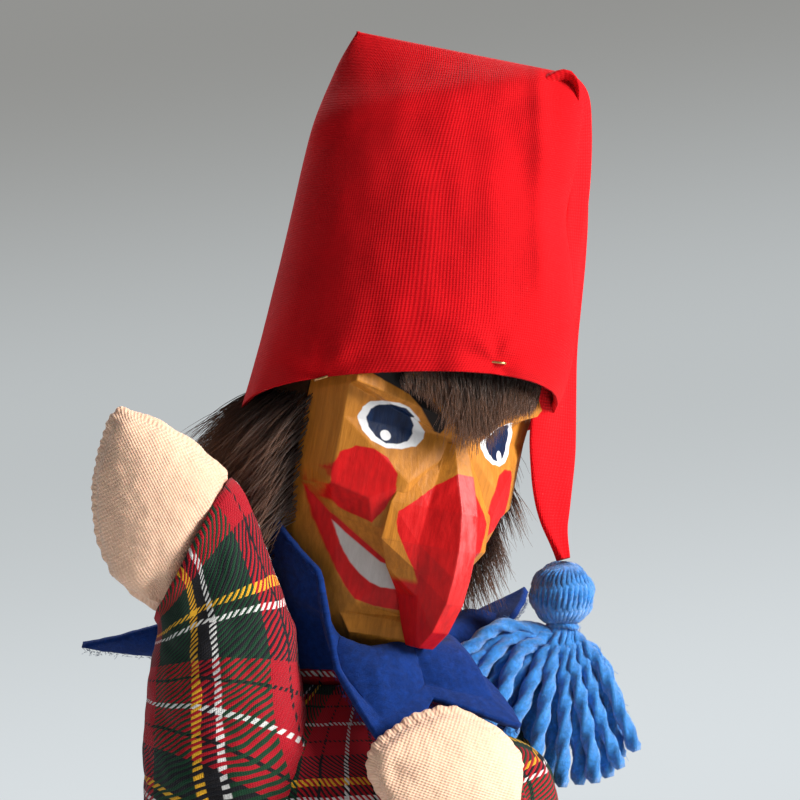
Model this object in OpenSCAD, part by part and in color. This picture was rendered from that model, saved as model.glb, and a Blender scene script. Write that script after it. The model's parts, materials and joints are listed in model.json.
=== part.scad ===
// Glove puppet of a robber: carved wooden head with a hooked nose, fur wig, red folded cap with a
// tassel, felt star collar, tartan glove dress and stuffed mitten hands.
// It faces -Y, its own right hand is at -X, and the middle of the open hem is the origin.

/* [Dress] */
// Height of the neck pivot above the hem
neck_z = 228; // [210:1:280]
// Width of the hem, side to side
hem_w = 160; // [130:1:200]
// Depth of the hem, front to back
hem_d = 116; // [96:1:140]
// Width of the dress across the chest
chest_w = 120; // [112:1:150]
// Depth of the dress at the chest
chest_d = 78; // [72:1:100]
// Thickness of the dress cloth with its lining
cloth_t = 1.6; // [1:0.1:2.5]

/* [Neck] */
// Radius of the ball at the bottom of the wooden neck
neck_ball_r = 16.5; // [15:0.1:18]
// Radius of the neck between the ball and the jaw
neck_r = 12.5; // [11:0.1:14]
// Radius of the finger hole in the neck
finger_r = 9.5; // [8:0.1:10.4]
// Depth of the finger hole
finger_depth = 48; // [30:1:60]
// Thickness of the drawstring round the neck
neck_cord_d = 3; // [2:0.1:4]
// Height of the gathered neck casing
casing_h = 7; // [5:0.5:10]

/* [Head] */
// Width of the face across the cheekbones
head_w = 72; // [60:1:86]
// Depth of the wooden head without the nose
head_d = 75; // [62:1:90]
// Height of the wooden head from jaw to crown
head_h = 107; // [90:1:128]
// Gap between the neck pivot and the datum that the head is drawn from
head_rise = 4; // [2:0.5:8]
// Turn of the head to its own left
head_turn = 10; // [0:1:20]
// Lean of the head
head_lean = 10; // [0:1:14]
// Heading that the head leans to, from straight ahead to its own left
lean_heading = 60; // [30:1:90]
// How far the nose stands out from the face
nose_reach = 13; // [8:0.5:18]

/* [Wig] */
// Depth of the fur pile round the head
fur_t = 8; // [5:0.5:10]

/* [Cap] */
// Width of the cap at the brim
cap_w = 92; // [86:1:110]
// Height of the cap from the brim to the fold
cap_h = 106; // [85:1:128]
// Turn of the cap's fold to the head's right
cap_turn = 25; // [0:1:40]
// Thickness of the cap cloth
cap_t = 1.2; // [0.8:0.1:2]
// Length of the hanging tail from the fold to its tip
tail_l = 138; // [115:1:142]
// Width across a staple's crown
staple_w = 4.6; // [3:0.1:7]

/* [Tassel] */
// Diameter of the yarn ball
yarn_ball_d = 18; // [14:0.5:22]
// Length of the loose yarn below the ball
skirt_l = 38; // [25:1:45]
// Radius of the loose yarn where it ends
skirt_r = 19; // [10:0.5:22]

/* [Collar] */
// Thickness of the felt
felt_t = 2; // [1:0.1:3]
// Radius of the collar at the notches between its points
notch_r = 34; // [28:1:38]

/* [Arms] */
// Distance between the shoulder centres
shoulder_span = 84; // [80:1:100]
// Height of the shoulder centres above the hem
shoulder_z = 200; // [188:1:203]
// Radius of the puffed sleeve head
shoulder_r = 24; // [21:0.5:24]
// Radius of the sleeve below its head
sleeve_r = 20; // [17:0.5:20]
// Radius of the sleeve at the elbow
elbow_r = 15; // [14:0.5:16]
// Radius of the sleeve end inside the mitten
wrist_r = 13; // [11:0.1:14]

/* [Hands] */
// Length of a mitten from the wrist to the tip
hand_l = 60; // [50:1:70]
// Width of a mitten
hand_w = 40; // [34:1:48]
// Thickness of a stuffed mitten
hand_t = 19; // [14:0.5:24]
// Thickness of the jersey
jersey_t = 1.2; // [0.8:0.1:2]

/* [Hidden] */
$fn = 48;

gap = 0.4;                       // room between soft parts that move against each other
ring_n = 36;                     // points round a soft section
far = 400;                       // larger than anything that is cut

cord_r = neck_cord_d / 2;
cord_ring_r = neck_ball_r + gap + cord_r;
casing_in_r = cord_ring_r + cord_r + gap;
casing_out_r = casing_in_r + cloth_t;
neck_hole_r = casing_out_r + gap;

neck_top = neck_z - casing_h / 2;
shoulder_x = shoulder_span / 2;
shoulder_right = [-shoulder_x, 0, shoulder_z];
shoulder_left = [shoulder_x, 0, shoulder_z];

// the right arm is raised beside the head, the left arm lies across the chest
elbow_right = shoulder_right + [-6, -9, 28];
wrist_right = shoulder_right + [-14, -18, 58];
elbow_left = shoulder_left + [6, -chest_d * 0.37, -8];
wrist_left = shoulder_left + [-9, -chest_d / 2 - 14.5, -10];
right_hand_aim = [-0.62, -0.32, 0.71];
left_hand_aim = [-0.92, -0.16, 0.31];
right_hand_roll = -48;
left_hand_roll = 0;

// ---------- shared shapes ----------

// closed solid through a stack of rings with equal numbers of points, lowest ring first
module loft(rings) {
    n = len(rings[0]);
    m = len(rings);
    sides = [
        for (j = [0 : m - 2]) for (i = [0 : n - 1])
            let (a = j * n + i, b = j * n + (i + 1) % n)
                each [[a, a + n, b + n], [a, b + n, b]]
    ];
    bottom = [for (i = [0 : n - 1]) i];
    top = [for (i = [n - 1 : -1 : 0]) (m - 1) * n + i];
    polyhedron(points = [for (ring = rings) for (p = ring) p], faces = concat([bottom, top], sides));
}

// no point lies on the x or y axis, so a part cut in halves there is cut clear of the points
function oval(centre, half_w, half_d, n = ring_n) = [
    for (i = [0 : n - 1])
        let (a = 360 * (i + 0.5) / n) centre + [half_w * cos(a), half_d * sin(a), 0]
];

// a half outline from front to back, mirrored into a whole ring at height z
function both_sides(half, z, sx = 1, sy = 1) =
    concat(
        [for (p = half) [p[0] * sx, p[1] * sy, z]],
        [for (i = [len(half) - 2 : -1 : 1]) [-half[i][0] * sx, half[i][1] * sy, z]]
    );

// turns +Z to the direction v
module aim(v) {
    rotate([0, acos(v[2] / norm(v)), atan2(v[1], v[0])]) children();
}

module in_head() {
    translate([0, 0, neck_z])
        rotate(a = head_lean, v = [cos(lean_heading), sin(lean_heading), 0])
            rotate([0, 0, head_turn]) children();
}

module in_face() {
    in_head() translate([0, 0, head_rise]) children();
}

module in_cap() {
    in_face() rotate([0, 0, -cap_turn]) children();
}

// a point of the cap's own frame in the frame of the whole puppet
function turned(p, a) = [p[0] * cos(a) - p[1] * sin(a), p[0] * sin(a) + p[1] * cos(a), p[2]];
function leaned(p) = turned(
    let (q = turned(p, -(lean_heading - 90)))
        [q[0] * cos(head_lean) + q[2] * sin(head_lean), q[1], q[2] * cos(head_lean) - q[0] * sin(head_lean)],
    lean_heading - 90);
function from_cap(p) =
    [0, 0, neck_z] + leaned(turned(p + [0, 0, head_rise], head_turn - cap_turn));

// ---------- dress ----------

function dress_levels(inset, below) = [
    for (s = [
        [-below, hem_w / 2, hem_d / 2],
        [shoulder_z * 0.3, hem_w * 0.47, hem_d * 0.47],
        [shoulder_z * 0.58, (hem_w * 0.4 + chest_w * 0.6) / 2, (hem_d * 0.4 + chest_d * 0.6) / 2],
        [shoulder_z * 0.8, chest_w * 0.515, chest_d * 0.52],
        [shoulder_z - 15, chest_w / 2, chest_d / 2],
        [shoulder_z, chest_w * 0.455, chest_d * 0.455],
        [(shoulder_z + neck_top) / 2, chest_w * 0.36, chest_d * 0.38],
        [neck_top, neck_hole_r + cloth_t, neck_hole_r + cloth_t]
    ]) [s[0], s[1] - inset, s[2] - inset]
];

module dress_volume(inset, below) {
    loft([for (s = dress_levels(inset, below)) oval([0, 0, s[0]], s[1], s[2])]);
}

module dress_shell() {
    difference() {
        dress_volume(0, 0);
        dress_volume(cloth_t, 1);
        translate([0, 0, neck_top - 6]) cylinder(h = 12, r = neck_hole_r + 0.2);
        sleeve_volume(shoulder_right, elbow_right, wrist_right, -gap);
        sleeve_volume(shoulder_left, elbow_left, wrist_left, -gap);
    }
}

module dress_front() {
    color("firebrick") intersection() {
        dress_shell();
        translate([-far / 2, -far, -far / 2]) cube([far, far, 2 * far]);
    }
}

module dress_back() {
    color("darkred") intersection() {
        dress_shell();
        translate([-far / 2, 0, -far / 2]) cube([far, far, 2 * far]);
    }
}

// ---------- collar ----------

// each point of the felt star: heading from the front to its own left, reach, and tip height
// above the neck pivot
collar_points = [
    [-120, 79, 7], [-69, 34, 15], [-17, 46, -18], [34, 52, -15],
    [95, 60, 13], [137, 72, 2], [188, 74, -3]
];
collar_in_r = neck_hole_r + 0.3;
collar_steps = 8;                // directions drawn from one point to the next
notch_drop = 4;

function notch_of(i) =
    let (
        a = collar_points[i],
        b = collar_points[(i + 1) % len(collar_points)],
        turn = (i + 1 == len(collar_points)) ? 360 : 0,
        near_up = i == 0 || i == 1
    ) [(a[0] + b[0] + turn) / 2, near_up ? collar_in_r + 3 : notch_r, near_up ? 1 : -notch_drop];

function collar_corners() = [
    for (i = [0 : len(collar_points) - 1]) for (p = [collar_points[i], notch_of(i)]) p
];

function mix(a, b, t) = a * (1 - t) + b * t;

// directions all round the star: each holds a heading, the reach of the edge and its height
function collar_edge() =
    let (c = collar_corners(), n = len(c), k = collar_steps / 2) [
        for (i = [0 : n - 1]) for (s = [0 : k - 1])
            let (
                a = c[i],
                b = c[(i + 1) % n],
                heading_b = b[0] + (i + 1 == n ? 360 : 0)
            ) mix(a, [heading_b, b[1], b[2]], s / k)
    ];

function collar_ring(t, lower) = [
    for (e = collar_edge())
        let (r = mix(collar_in_r, e[1], t), z = neck_z + mix(1, e[2], t * t) - lower)
            [r * sin(e[0]), -r * cos(e[0]), z]
];

module collar() {
    stations = [0, 0.35, 0.7, 1];
    rings = concat(
        [for (t = stations) collar_ring(t, 0)],
        [for (j = [3 : -1 : 0]) collar_ring(stations[j], felt_t)]
    );
    n = len(rings[0]);
    m = len(rings);
    color("royalblue") polyhedron(
        points = [for (ring = rings) for (p = ring) p],
        faces = [
            for (j = [0 : m - 1]) for (i = [0 : n - 1])
                let (k = (j + 1) % m, l = (i + 1) % n)
                    each [[j * n + i, j * n + l, k * n + l], [j * n + i, k * n + l, k * n + i]]
        ]
    );
}

// ---------- neck ----------

module neck_casing() {
    color("firebrick") translate([0, 0, neck_z]) difference() {
        intersection() {
            sphere(r = casing_out_r);
            translate([0, 0, -casing_h / 2]) cylinder(h = casing_h, r = casing_out_r + 1);
        }
        sphere(r = casing_in_r);
    }
}

module neck_cord() {
    color("ivory") in_head() rotate_extrude() translate([cord_ring_r, 0]) circle(r = cord_r);
}

// ---------- head ----------

// half outlines of the carved head from the middle of the face round to the back, for a head
// 72 wide, 75 deep and 107 high
HEAD_LEVELS = [
    [7, [[0, -20], [11, -19], [18, -8], [18, 8], [10, 18], [0, 20]]],
    [18, [[0, -29], [12, -27], [24, -14], [28, 4], [22, 20], [0, 28]]],
    [36, [[0, -33], [14, -30], [30, -16], [33, 4], [28, 24], [0, 34]]],
    [54, [[0, -35], [16, -33], [33, -21], [36, 2], [30, 26], [0, 37]]],
    [72, [[0, -34], [13, -32], [33, -21], [36, 4], [31, 27], [0, 38]]],
    [84, [[0, -37], [12, -36], [33, -24], [36, 4], [31, 27], [0, 38]]],
    [97, [[0, -33], [14, -31], [30, -19], [33, 4], [28, 24], [0, 35]]],
    [108, [[0, -21], [11, -20], [22, -11], [24, 4], [18, 18], [0, 24]]],
    [114, [[0, -8], [5, -7], [9, -3], [10, 3], [7, 9], [0, 11]]]
];
jaw_z = 7;

module head_volume() {
    sx = head_w / 72;
    sy = head_d / 75;
    sz = head_h / 107;
    loft([for (s = HEAD_LEVELS) both_sides(s[1], jaw_z + (s[0] - jaw_z) * sz, sx, sy)]);
}

module head_block() {
    color("peru") in_head() difference() {
        union() {
            translate([0, 0, head_rise]) head_volume();
            intersection() {
                sphere(r = neck_ball_r);
                translate([0, 0, -12]) cylinder(h = 12 + neck_ball_r, r = neck_ball_r);
            }
            cylinder(h = head_rise + jaw_z + 4, r = neck_r);
        }
        translate([0, 0, -20]) cylinder(h = 8 + finger_depth, r = finger_r);
    }
}

// half outlines of the hooked nose: height, then ridge, cheek side and root
NOSE_LEVELS = [
    [6, [[0, -36], [3, -35], [5, -31], [5, -24], [0, -22]]],
    [12, [[0, -44], [4, -43], [8, -36], [8, -22], [0, -20]]],
    [22, [[0, -46], [4, -45], [9, -37], [9, -20], [0, -18]]],
    [34, [[0, -47], [4, -46], [14, -38], [18, -20], [0, -18]]],
    [47, [[0, -45], [4, -44], [12, -38], [18, -22], [0, -18]]],
    [60, [[0, -40], [3.5, -39], [8, -35], [12, -26], [0, -18]]],
    [68, [[0, -36], [2.5, -35.5], [4, -34], [5, -30], [0, -18]]]
];
nose_ridge_drawn = 13;

module nose() {
    face_y = -34 * head_d / 75;
    reach = nose_reach / nose_ridge_drawn;
    sz = head_h / 107;
    color("crimson") in_face() difference() {
        loft([
            for (s = NOSE_LEVELS)
                both_sides([for (p = s[1]) [p[0], face_y + (p[1] + 34) * (p[1] < -34 ? reach : 1)]],
                    jaw_z + (s[0] - jaw_z) * sz)
        ]);
        head_volume();
    }
}

// ---------- wig ----------

hairline_y = -6;
wig_low = 26;

module fur_volume(t) {
    hw = head_w / 2;
    hd = head_d / 2;
    loft([
        oval([0, 4, wig_low], hw * 0.78 + t * 0.5, hd * 0.76 + t * 0.5),
        oval([0, 3, wig_low + 12], hw * 0.94 + t * 0.8, hd * 0.92 + t * 0.9),
        oval([0, 1, 60], hw + t, hd + t),
        oval([0, 1, 74], hw + t, hd + t),
        oval([0, 1, 84], hw + t - 3, hd + t - 3),
        oval([0, 1, 98], hw + 2, hd)
    ]);
}

module wig_sides() {
    color("saddlebrown") in_face() difference() {
        fur_volume(fur_t);
        head_volume();
        translate([-far / 2, hairline_y - far, -far / 2]) cube([far, far, far]);
        rotate([0, 0, -cap_turn]) cap_volume(-2 * fur_t, gap);
    }
}

// fringe sections: height, half width and how far forward the hair stands
FRINGE_LEVELS = [[68, 1.5, 2], [76, 11, 3.5], [85, 22, 4.5]];

module wig_fringe() {
    brow_y = -37 * head_d / 75;
    color("saddlebrown") in_face() difference() {
        translate([3, 0, 0]) loft([
            for (s = FRINGE_LEVELS) both_sides([
                [0, brow_y - s[2]], [s[1] * 0.8, brow_y - s[2] * 0.7], [s[1], brow_y + 8], [0, brow_y + 16]
            ], s[0])
        ]);
        head_volume();
    }
}

// ---------- cap ----------

cap_x = 3.5;                     // the cap sits a little to its fold's side
brim_low = 68;
cap_room = 0.3;

// sections of the cap: height share, half width share, half depth share
CAP_LEVELS = [
    [0.16, 1, 0.98], [0.34, 0.96, 0.84], [0.57, 0.91, 0.62],
    [0.73, 0.88, 0.48], [0.86, 0.83, 0.36], [0.96, 0.72, 0.22], [1, 0.62, 0.12]
];

function brim_ring(inset, z) = [
    for (p = oval([cap_x, 0, z], cap_w / 2 - inset, cap_w / 2 - inset))
        p + [0, 0, 8 * (p[0] - cap_x) / (cap_w / 2) - 4 * p[1] / (cap_w / 2)]
];

module cap_volume(inset, below) {
    base = brim_low + 12;
    loft(concat(
        [brim_ring(inset, base - below)],
        [for (s = CAP_LEVELS)
            oval([cap_x, 0, base + s[0] * cap_h - (s[0] > 0.9 ? inset : 0)],
                s[1] * cap_w / 2 - inset, s[2] * cap_w / 2 - inset)]
    ));
}

module hat_crown() {
    color("red") in_cap() difference() {
        cap_volume(0, 0);
        cap_volume(cap_t, 1);
    }
}

module hat_stuffing() {
    stuffing_z = jaw_z + head_h + 1.5;
    color("whitesmoke") in_cap() intersection() {
        cap_volume(cap_t + cap_room, 0);
        translate([-far / 2, -far / 2, stuffing_z]) cube([far, far, far]);
    }
}

// staples that fix the brim to the head: turn about the head and height
staple_places = [[-38, 82], [20, 89], [150, 78], [205, 74]];
staple_wire = 0.7;

module hat_staples() {
    color("goldenrod") in_cap() for (s = staple_places) {
        a = s[0];
        r = cap_w / 2 + staple_wire * 0.6;
        translate([cap_x + r * sin(a), -r * cos(a), s[1] + 5])
            rotate([0, 0, a]) translate([-staple_w / 2, -staple_wire / 2, 0])
                cube([staple_w, staple_wire, staple_wire]);
    }
}

// ---------- tail and tassel ----------

fold_top = from_cap([cap_x + cap_w * 0.42, 8, brim_low + 12 + cap_h * 0.9]);
tail_heading = 25;
tail_out = [cos(tail_heading), -sin(tail_heading), 0];  // the way the tail swings clear of the cap
tail_side = [-tail_out[1], tail_out[0], 0];
tail_top = fold_top + 2 * tail_out;
ball_r = yarn_ball_d / 2;
tail_tip = tail_top + [-10, -6, -tail_l];
ball_c = tail_tip - [0, 0, ball_r + 3 * gap];

// sections of the hanging tail: share of its length, half width, half thickness
TAIL_LEVELS = [
    [1, 2.5, 2], [0.92, 4.5, 2.4], [0.75, 8, 2.6], [0.5, 12, 2.8], [0.22, 16, 3], [0.06, 16, 3.2], [0, 13, 2]
];

function tail_ring(s) =
    let (c = mix(tail_top, tail_tip, s[0]))
        [for (i = [0 : ring_n - 1])
            let (a = 360 * i / ring_n) c + s[2] * cos(a) * tail_out + s[1] * sin(a) * tail_side];

module hat_tail() {
    color("red") difference() {
        loft([for (s = TAIL_LEVELS) tail_ring(s)]);
        in_cap() cap_volume(-gap, 0);
    }
}

module tassel_head() {
    color("deepskyblue") translate(ball_c) sphere(r = ball_r);
}

tie_r = 4;
tie_z = ball_c[2] - ball_r - 1.2;

module tassel_tie() {
    color("deepskyblue") translate([ball_c[0], ball_c[1], tie_z])
        rotate_extrude() translate([tie_r, 0]) circle(r = 1);
}

module tassel_skirt() {
    color("deepskyblue") difference() {
        translate([ball_c[0], ball_c[1], tie_z - 1.2 - skirt_l])
            cylinder(h = skirt_l, r1 = skirt_r, r2 = tie_r);
        sleeve_volume(shoulder_left, elbow_left, wrist_left, -gap);
        translate([0, 0, neck_z - 60]) cylinder(h = 100, r = collar_points[4][1] - 12);
    }
}

// ---------- sleeves ----------

// a round tapered link from a to b
module link(a, b, r_a, r_b) {
    translate(a) aim(b - a) cylinder(h = norm(b - a), r1 = r_a, r2 = r_b);
}

elbow_step = 0.3;                // how far a link stays inside the ball at its end
wrist_step = 3.5;

module sleeve_volume(shoulder, elbow, wrist, inset) {
    translate(shoulder) sphere(r = shoulder_r - inset);
    link(shoulder, elbow, sleeve_r - inset, elbow_r - elbow_step - inset);
    translate(elbow) sphere(r = elbow_r - inset);
    link(elbow, wrist, elbow_r - elbow_step - inset, wrist_r - wrist_step - inset);
    translate(wrist) sphere(r = wrist_r - inset);
}

// hollow sleeve, open towards the dress at the shoulder and towards the hand at the wrist
module sleeve(shoulder, elbow, wrist, hand_aim) {
    mouth = 3;
    color("firebrick") difference() {
        sleeve_volume(shoulder, elbow, wrist, 0);
        sleeve_volume(shoulder, elbow, wrist, cloth_t);
        translate(shoulder) aim(shoulder - elbow) translate([0, 0, mouth]) cylinder(h = far, r = far / 2);
        translate(wrist) aim(hand_aim) cylinder(h = 2 * wrist_r, r = wrist_r - 2 * cloth_t);
    }
}

module sleeve_right() {
    sleeve(shoulder_right, elbow_right, wrist_right, right_hand_aim);
}

module sleeve_left() {
    sleeve(shoulder_left, elbow_left, wrist_left, left_hand_aim);
}

// ---------- hands ----------

cuff_z = 4;

// sections of a mitten: share of its length, half width share, half thickness share
HAND_LEVELS = [
    [0.22, 0.88, 1.3], [0.4, 1, 1.05], [0.62, 1, 0.95], [0.8, 0.84, 0.8], [0.93, 0.55, 0.5], [1, 0.2, 0.15]
];

module hand_volume(inset) {
    cuff_r = wrist_r + gap + jersey_t;
    loft(concat(
        [oval([0, 0, cuff_z], cuff_r - inset, cuff_r - inset)],
        [for (s = HAND_LEVELS)
            oval([0, 0, s[0] * hand_l - (s[0] == 1 ? inset : 0)],
                s[1] * hand_w / 2 - inset, max(s[2] * hand_t / 2 - inset, 0.4))]
    ));
}

module hand_panel(palm) {
    difference() {
        hand_volume(0);
        hand_volume(jersey_t);
        sphere(r = wrist_r + gap);
        translate([-far / 2, palm ? -far : 0, -far / 2]) cube([far, far, far]);
        translate([0, 0, cuff_z - 2]) cylinder(h = 2.5, r = wrist_r + gap + 0.2);
    }
}

module hand_stuffing() {
    intersection() {
        hand_volume(jersey_t + cap_room);
        translate([-far / 2, -far / 2, hand_l * 0.58]) cube([far, far, far]);
    }
}

module place_right_hand() {
    translate(wrist_right) aim(right_hand_aim) rotate([0, 0, right_hand_roll]) children();
}

module place_left_hand() {
    translate(wrist_left) aim(left_hand_aim) rotate([0, 0, left_hand_roll]) children();
}

module hand_right_back() {
    color("peachpuff") place_right_hand() hand_panel(true);
}

module hand_right_palm() {
    color("navajowhite") place_right_hand() hand_panel(false);
}

module hand_right_stuffing() {
    color("whitesmoke") place_right_hand() hand_stuffing();
}

module hand_left_back() {
    color("peachpuff") place_left_hand() hand_panel(false);
}

module hand_left_palm() {
    color("navajowhite") place_left_hand() hand_panel(true);
}

module hand_left_stuffing() {
    color("whitesmoke") place_left_hand() hand_stuffing();
}

dress_front();
dress_back();
collar();
neck_casing();
neck_cord();
head_block();
nose();
wig_sides();
wig_fringe();
hat_crown();
hat_stuffing();
hat_staples();
hat_tail();
tassel_head();
tassel_tie();
tassel_skirt();
sleeve_right();
sleeve_left();
hand_right_back();
hand_right_palm();
hand_right_stuffing();
hand_left_back();
hand_left_palm();
hand_left_stuffing();
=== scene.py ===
"""Builds the looks of a robber glove puppet round its CAD frame: carved head, sewn cap, fur wig,
felt collar, tartan dress, jersey mitts and wool tassel."""
import json
import math
import random

import bmesh
import bpy
import numpy as np
from bpy.props import FloatProperty, FloatVectorProperty, PointerProperty
from mathutils import Matrix, Vector, noise


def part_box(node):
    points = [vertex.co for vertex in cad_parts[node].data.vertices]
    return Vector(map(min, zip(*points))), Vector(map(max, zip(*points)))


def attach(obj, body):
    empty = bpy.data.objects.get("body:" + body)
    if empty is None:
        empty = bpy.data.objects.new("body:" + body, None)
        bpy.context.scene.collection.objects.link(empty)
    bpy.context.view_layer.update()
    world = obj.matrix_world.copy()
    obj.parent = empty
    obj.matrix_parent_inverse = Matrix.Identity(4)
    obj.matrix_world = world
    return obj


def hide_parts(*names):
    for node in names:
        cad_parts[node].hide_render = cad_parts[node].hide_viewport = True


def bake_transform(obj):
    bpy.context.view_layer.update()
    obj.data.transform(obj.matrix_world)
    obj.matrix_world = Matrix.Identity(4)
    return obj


bl_info = {
    "name": "Robber Glove Puppet",
    "version": (1, 0, 0),
    "blender": (4, 5, 0),
    "location": "View3D > Sidebar > Puppet",
    "description": "Dresses the puppet's frame in wood, cloth, fur, felt and wool",
    "category": "Object",
}

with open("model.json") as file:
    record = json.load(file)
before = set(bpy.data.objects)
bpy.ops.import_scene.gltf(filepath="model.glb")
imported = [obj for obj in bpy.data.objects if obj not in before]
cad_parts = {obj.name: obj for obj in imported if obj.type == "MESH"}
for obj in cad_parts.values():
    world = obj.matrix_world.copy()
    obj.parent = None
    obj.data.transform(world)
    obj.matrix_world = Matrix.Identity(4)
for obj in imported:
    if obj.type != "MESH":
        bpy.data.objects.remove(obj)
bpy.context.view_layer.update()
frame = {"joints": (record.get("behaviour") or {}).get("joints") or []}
JOINTS = {j["name"]: Vector(j["pos_m"]) for j in frame["joints"]}
MM = 0.001

# the direction the puppet is seen from, level, and the one to its right
RIGHT = Vector((0.866, -0.5, 0))
AWAY = Vector((0.5, 0.866, 0))
NECK = JOINTS["head_turn"]
HEAD_FRAME = (
    Matrix.Translation(NECK)
    @ Matrix.Rotation(math.radians(10), 4, AWAY)
    @ Matrix.Rotation(math.radians(10), 4, "Z")
)
FACE_FRAME = HEAD_FRAME @ Matrix.Translation((0, 0, 4 * MM))


def seen(u, d, z):
    """A point in mm to the right, away and up, as a point of the row frame in metres."""
    return (RIGHT * u + AWAY * d + Vector((0, 0, z))) * MM


# ---------- meshes ----------


def new_piece(name, points, faces, body=None, smooth=True, rest=None, cloth=None):
    """A mesh piece from points in metres. Its pattern follows its own rest places in mm, and
    cloth gives each point its place on the flat cloth in mm."""
    mesh = bpy.data.meshes.new(name)
    mesh.from_pydata([tuple(p) for p in points], [], faces)
    mesh.validate()
    piece = bpy.data.objects.new(name, mesh)
    bpy.context.scene.collection.objects.link(piece)
    keep_places(piece, "rest", [Vector(p) * 1000 for p in (rest or points)])
    if cloth is not None:
        keep_places(piece, "cloth", cloth)
    mesh.shade_smooth() if smooth else mesh.shade_flat()
    if body:
        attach(piece, body)
    return piece


def keep_places(piece, name, places):
    layer = piece.data.attributes.new(name, "FLOAT_VECTOR", "POINT")
    layer.data.foreach_set("vector", [c for p in places for c in p])


def apply_modifiers(piece):
    bpy.context.view_layer.update()
    made = bpy.data.meshes.new_from_object(
        piece.evaluated_get(bpy.context.evaluated_depsgraph_get())
    )
    piece.modifiers.clear()
    old = piece.data
    piece.data = made
    bpy.data.meshes.remove(old)


def add_modifier(piece, kind, **settings):
    modifier = piece.modifiers.new(kind.title(), kind)
    for key, value in settings.items():
        setattr(modifier, key, value)
    apply_modifiers(piece)


def lofted(rings, capped=True, closed=True):
    """Points and faces of a skin through rings of equal counts."""
    count = len(rings[0])
    points = [p for ring in rings for p in ring]
    around = count if closed else count - 1
    faces = [
        (j * count + i, j * count + (i + 1) % count,
         (j + 1) * count + (i + 1) % count, (j + 1) * count + i)
        for j in range(len(rings) - 1)
        for i in range(around)
    ]
    if capped:
        faces.append(tuple(range(count))[::-1])
        faces.append(tuple(range(len(points) - count, len(points))))
    return points, faces


def round_angles(count):
    """Angles spread evenly over one turn."""
    return [2 * math.pi * i / count for i in range(count)]


def swept(path, section, twist=0.0, scale=None):
    """Rings of a section, a list of (a, b) in metres, carried along a path of points."""
    rings = []
    normal = None
    for k, p in enumerate(path):
        ahead = path[min(k + 1, len(path) - 1)] - path[max(k - 1, 0)]
        ahead.normalize()
        if normal is None:
            normal = ahead.orthogonal().normalized()
        normal = (normal - ahead * normal.dot(ahead)).normalized()
        other = ahead.cross(normal)
        turn = twist * k
        s = scale[k] if scale else 1.0
        rings.append([
            p + (normal * (a * math.cos(turn) - b * math.sin(turn))
                 + other * (a * math.sin(turn) + b * math.cos(turn))) * s
            for a, b in section
        ])
    return rings


def join_skins(skins):
    """One points-and-faces pair from several."""
    points, faces = [], []
    for skin_points, skin_faces in skins:
        start = len(points)
        points += skin_points
        faces += [tuple(i + start for i in face) for face in skin_faces]
    return points, faces


def ease(value, low, high):
    t = min(max((value - low) / (high - low), 0), 1)
    return t * t * (3 - 2 * t)


def along(stops, t):
    """The value at t of a smooth line through (t, value) stops; a value is a number or Vector."""
    if t <= stops[0][0]:
        return stops[0][1]
    for k in range(len(stops) - 1):
        a, b = stops[k], stops[k + 1]
        if t <= b[0]:
            before = stops[max(k - 1, 0)]
            after = stops[min(k + 2, len(stops) - 1)]
            w = (t - a[0]) / (b[0] - a[0])
            span = b[0] - a[0]
            slope_a = (b[1] - before[1]) * (span / max(b[0] - before[0], 1e-9))
            slope_b = (after[1] - a[1]) * (span / max(after[0] - a[0], 1e-9))
            return (
                a[1] * (2 * w**3 - 3 * w**2 + 1) + slope_a * (w**3 - 2 * w**2 + w)
                + b[1] * (3 * w**2 - 2 * w**3) + slope_b * (w**3 - w**2)
            )
    return stops[-1][1]


def wander(p, size, seed=0.0):
    """Smooth noise from -1 to 1 that changes over size, in mm."""
    return noise.noise(Vector((p[0] / size + seed, p[1] / size - seed, p[2] / size + 3 * seed)))


# ---------- finishes ----------


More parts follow.
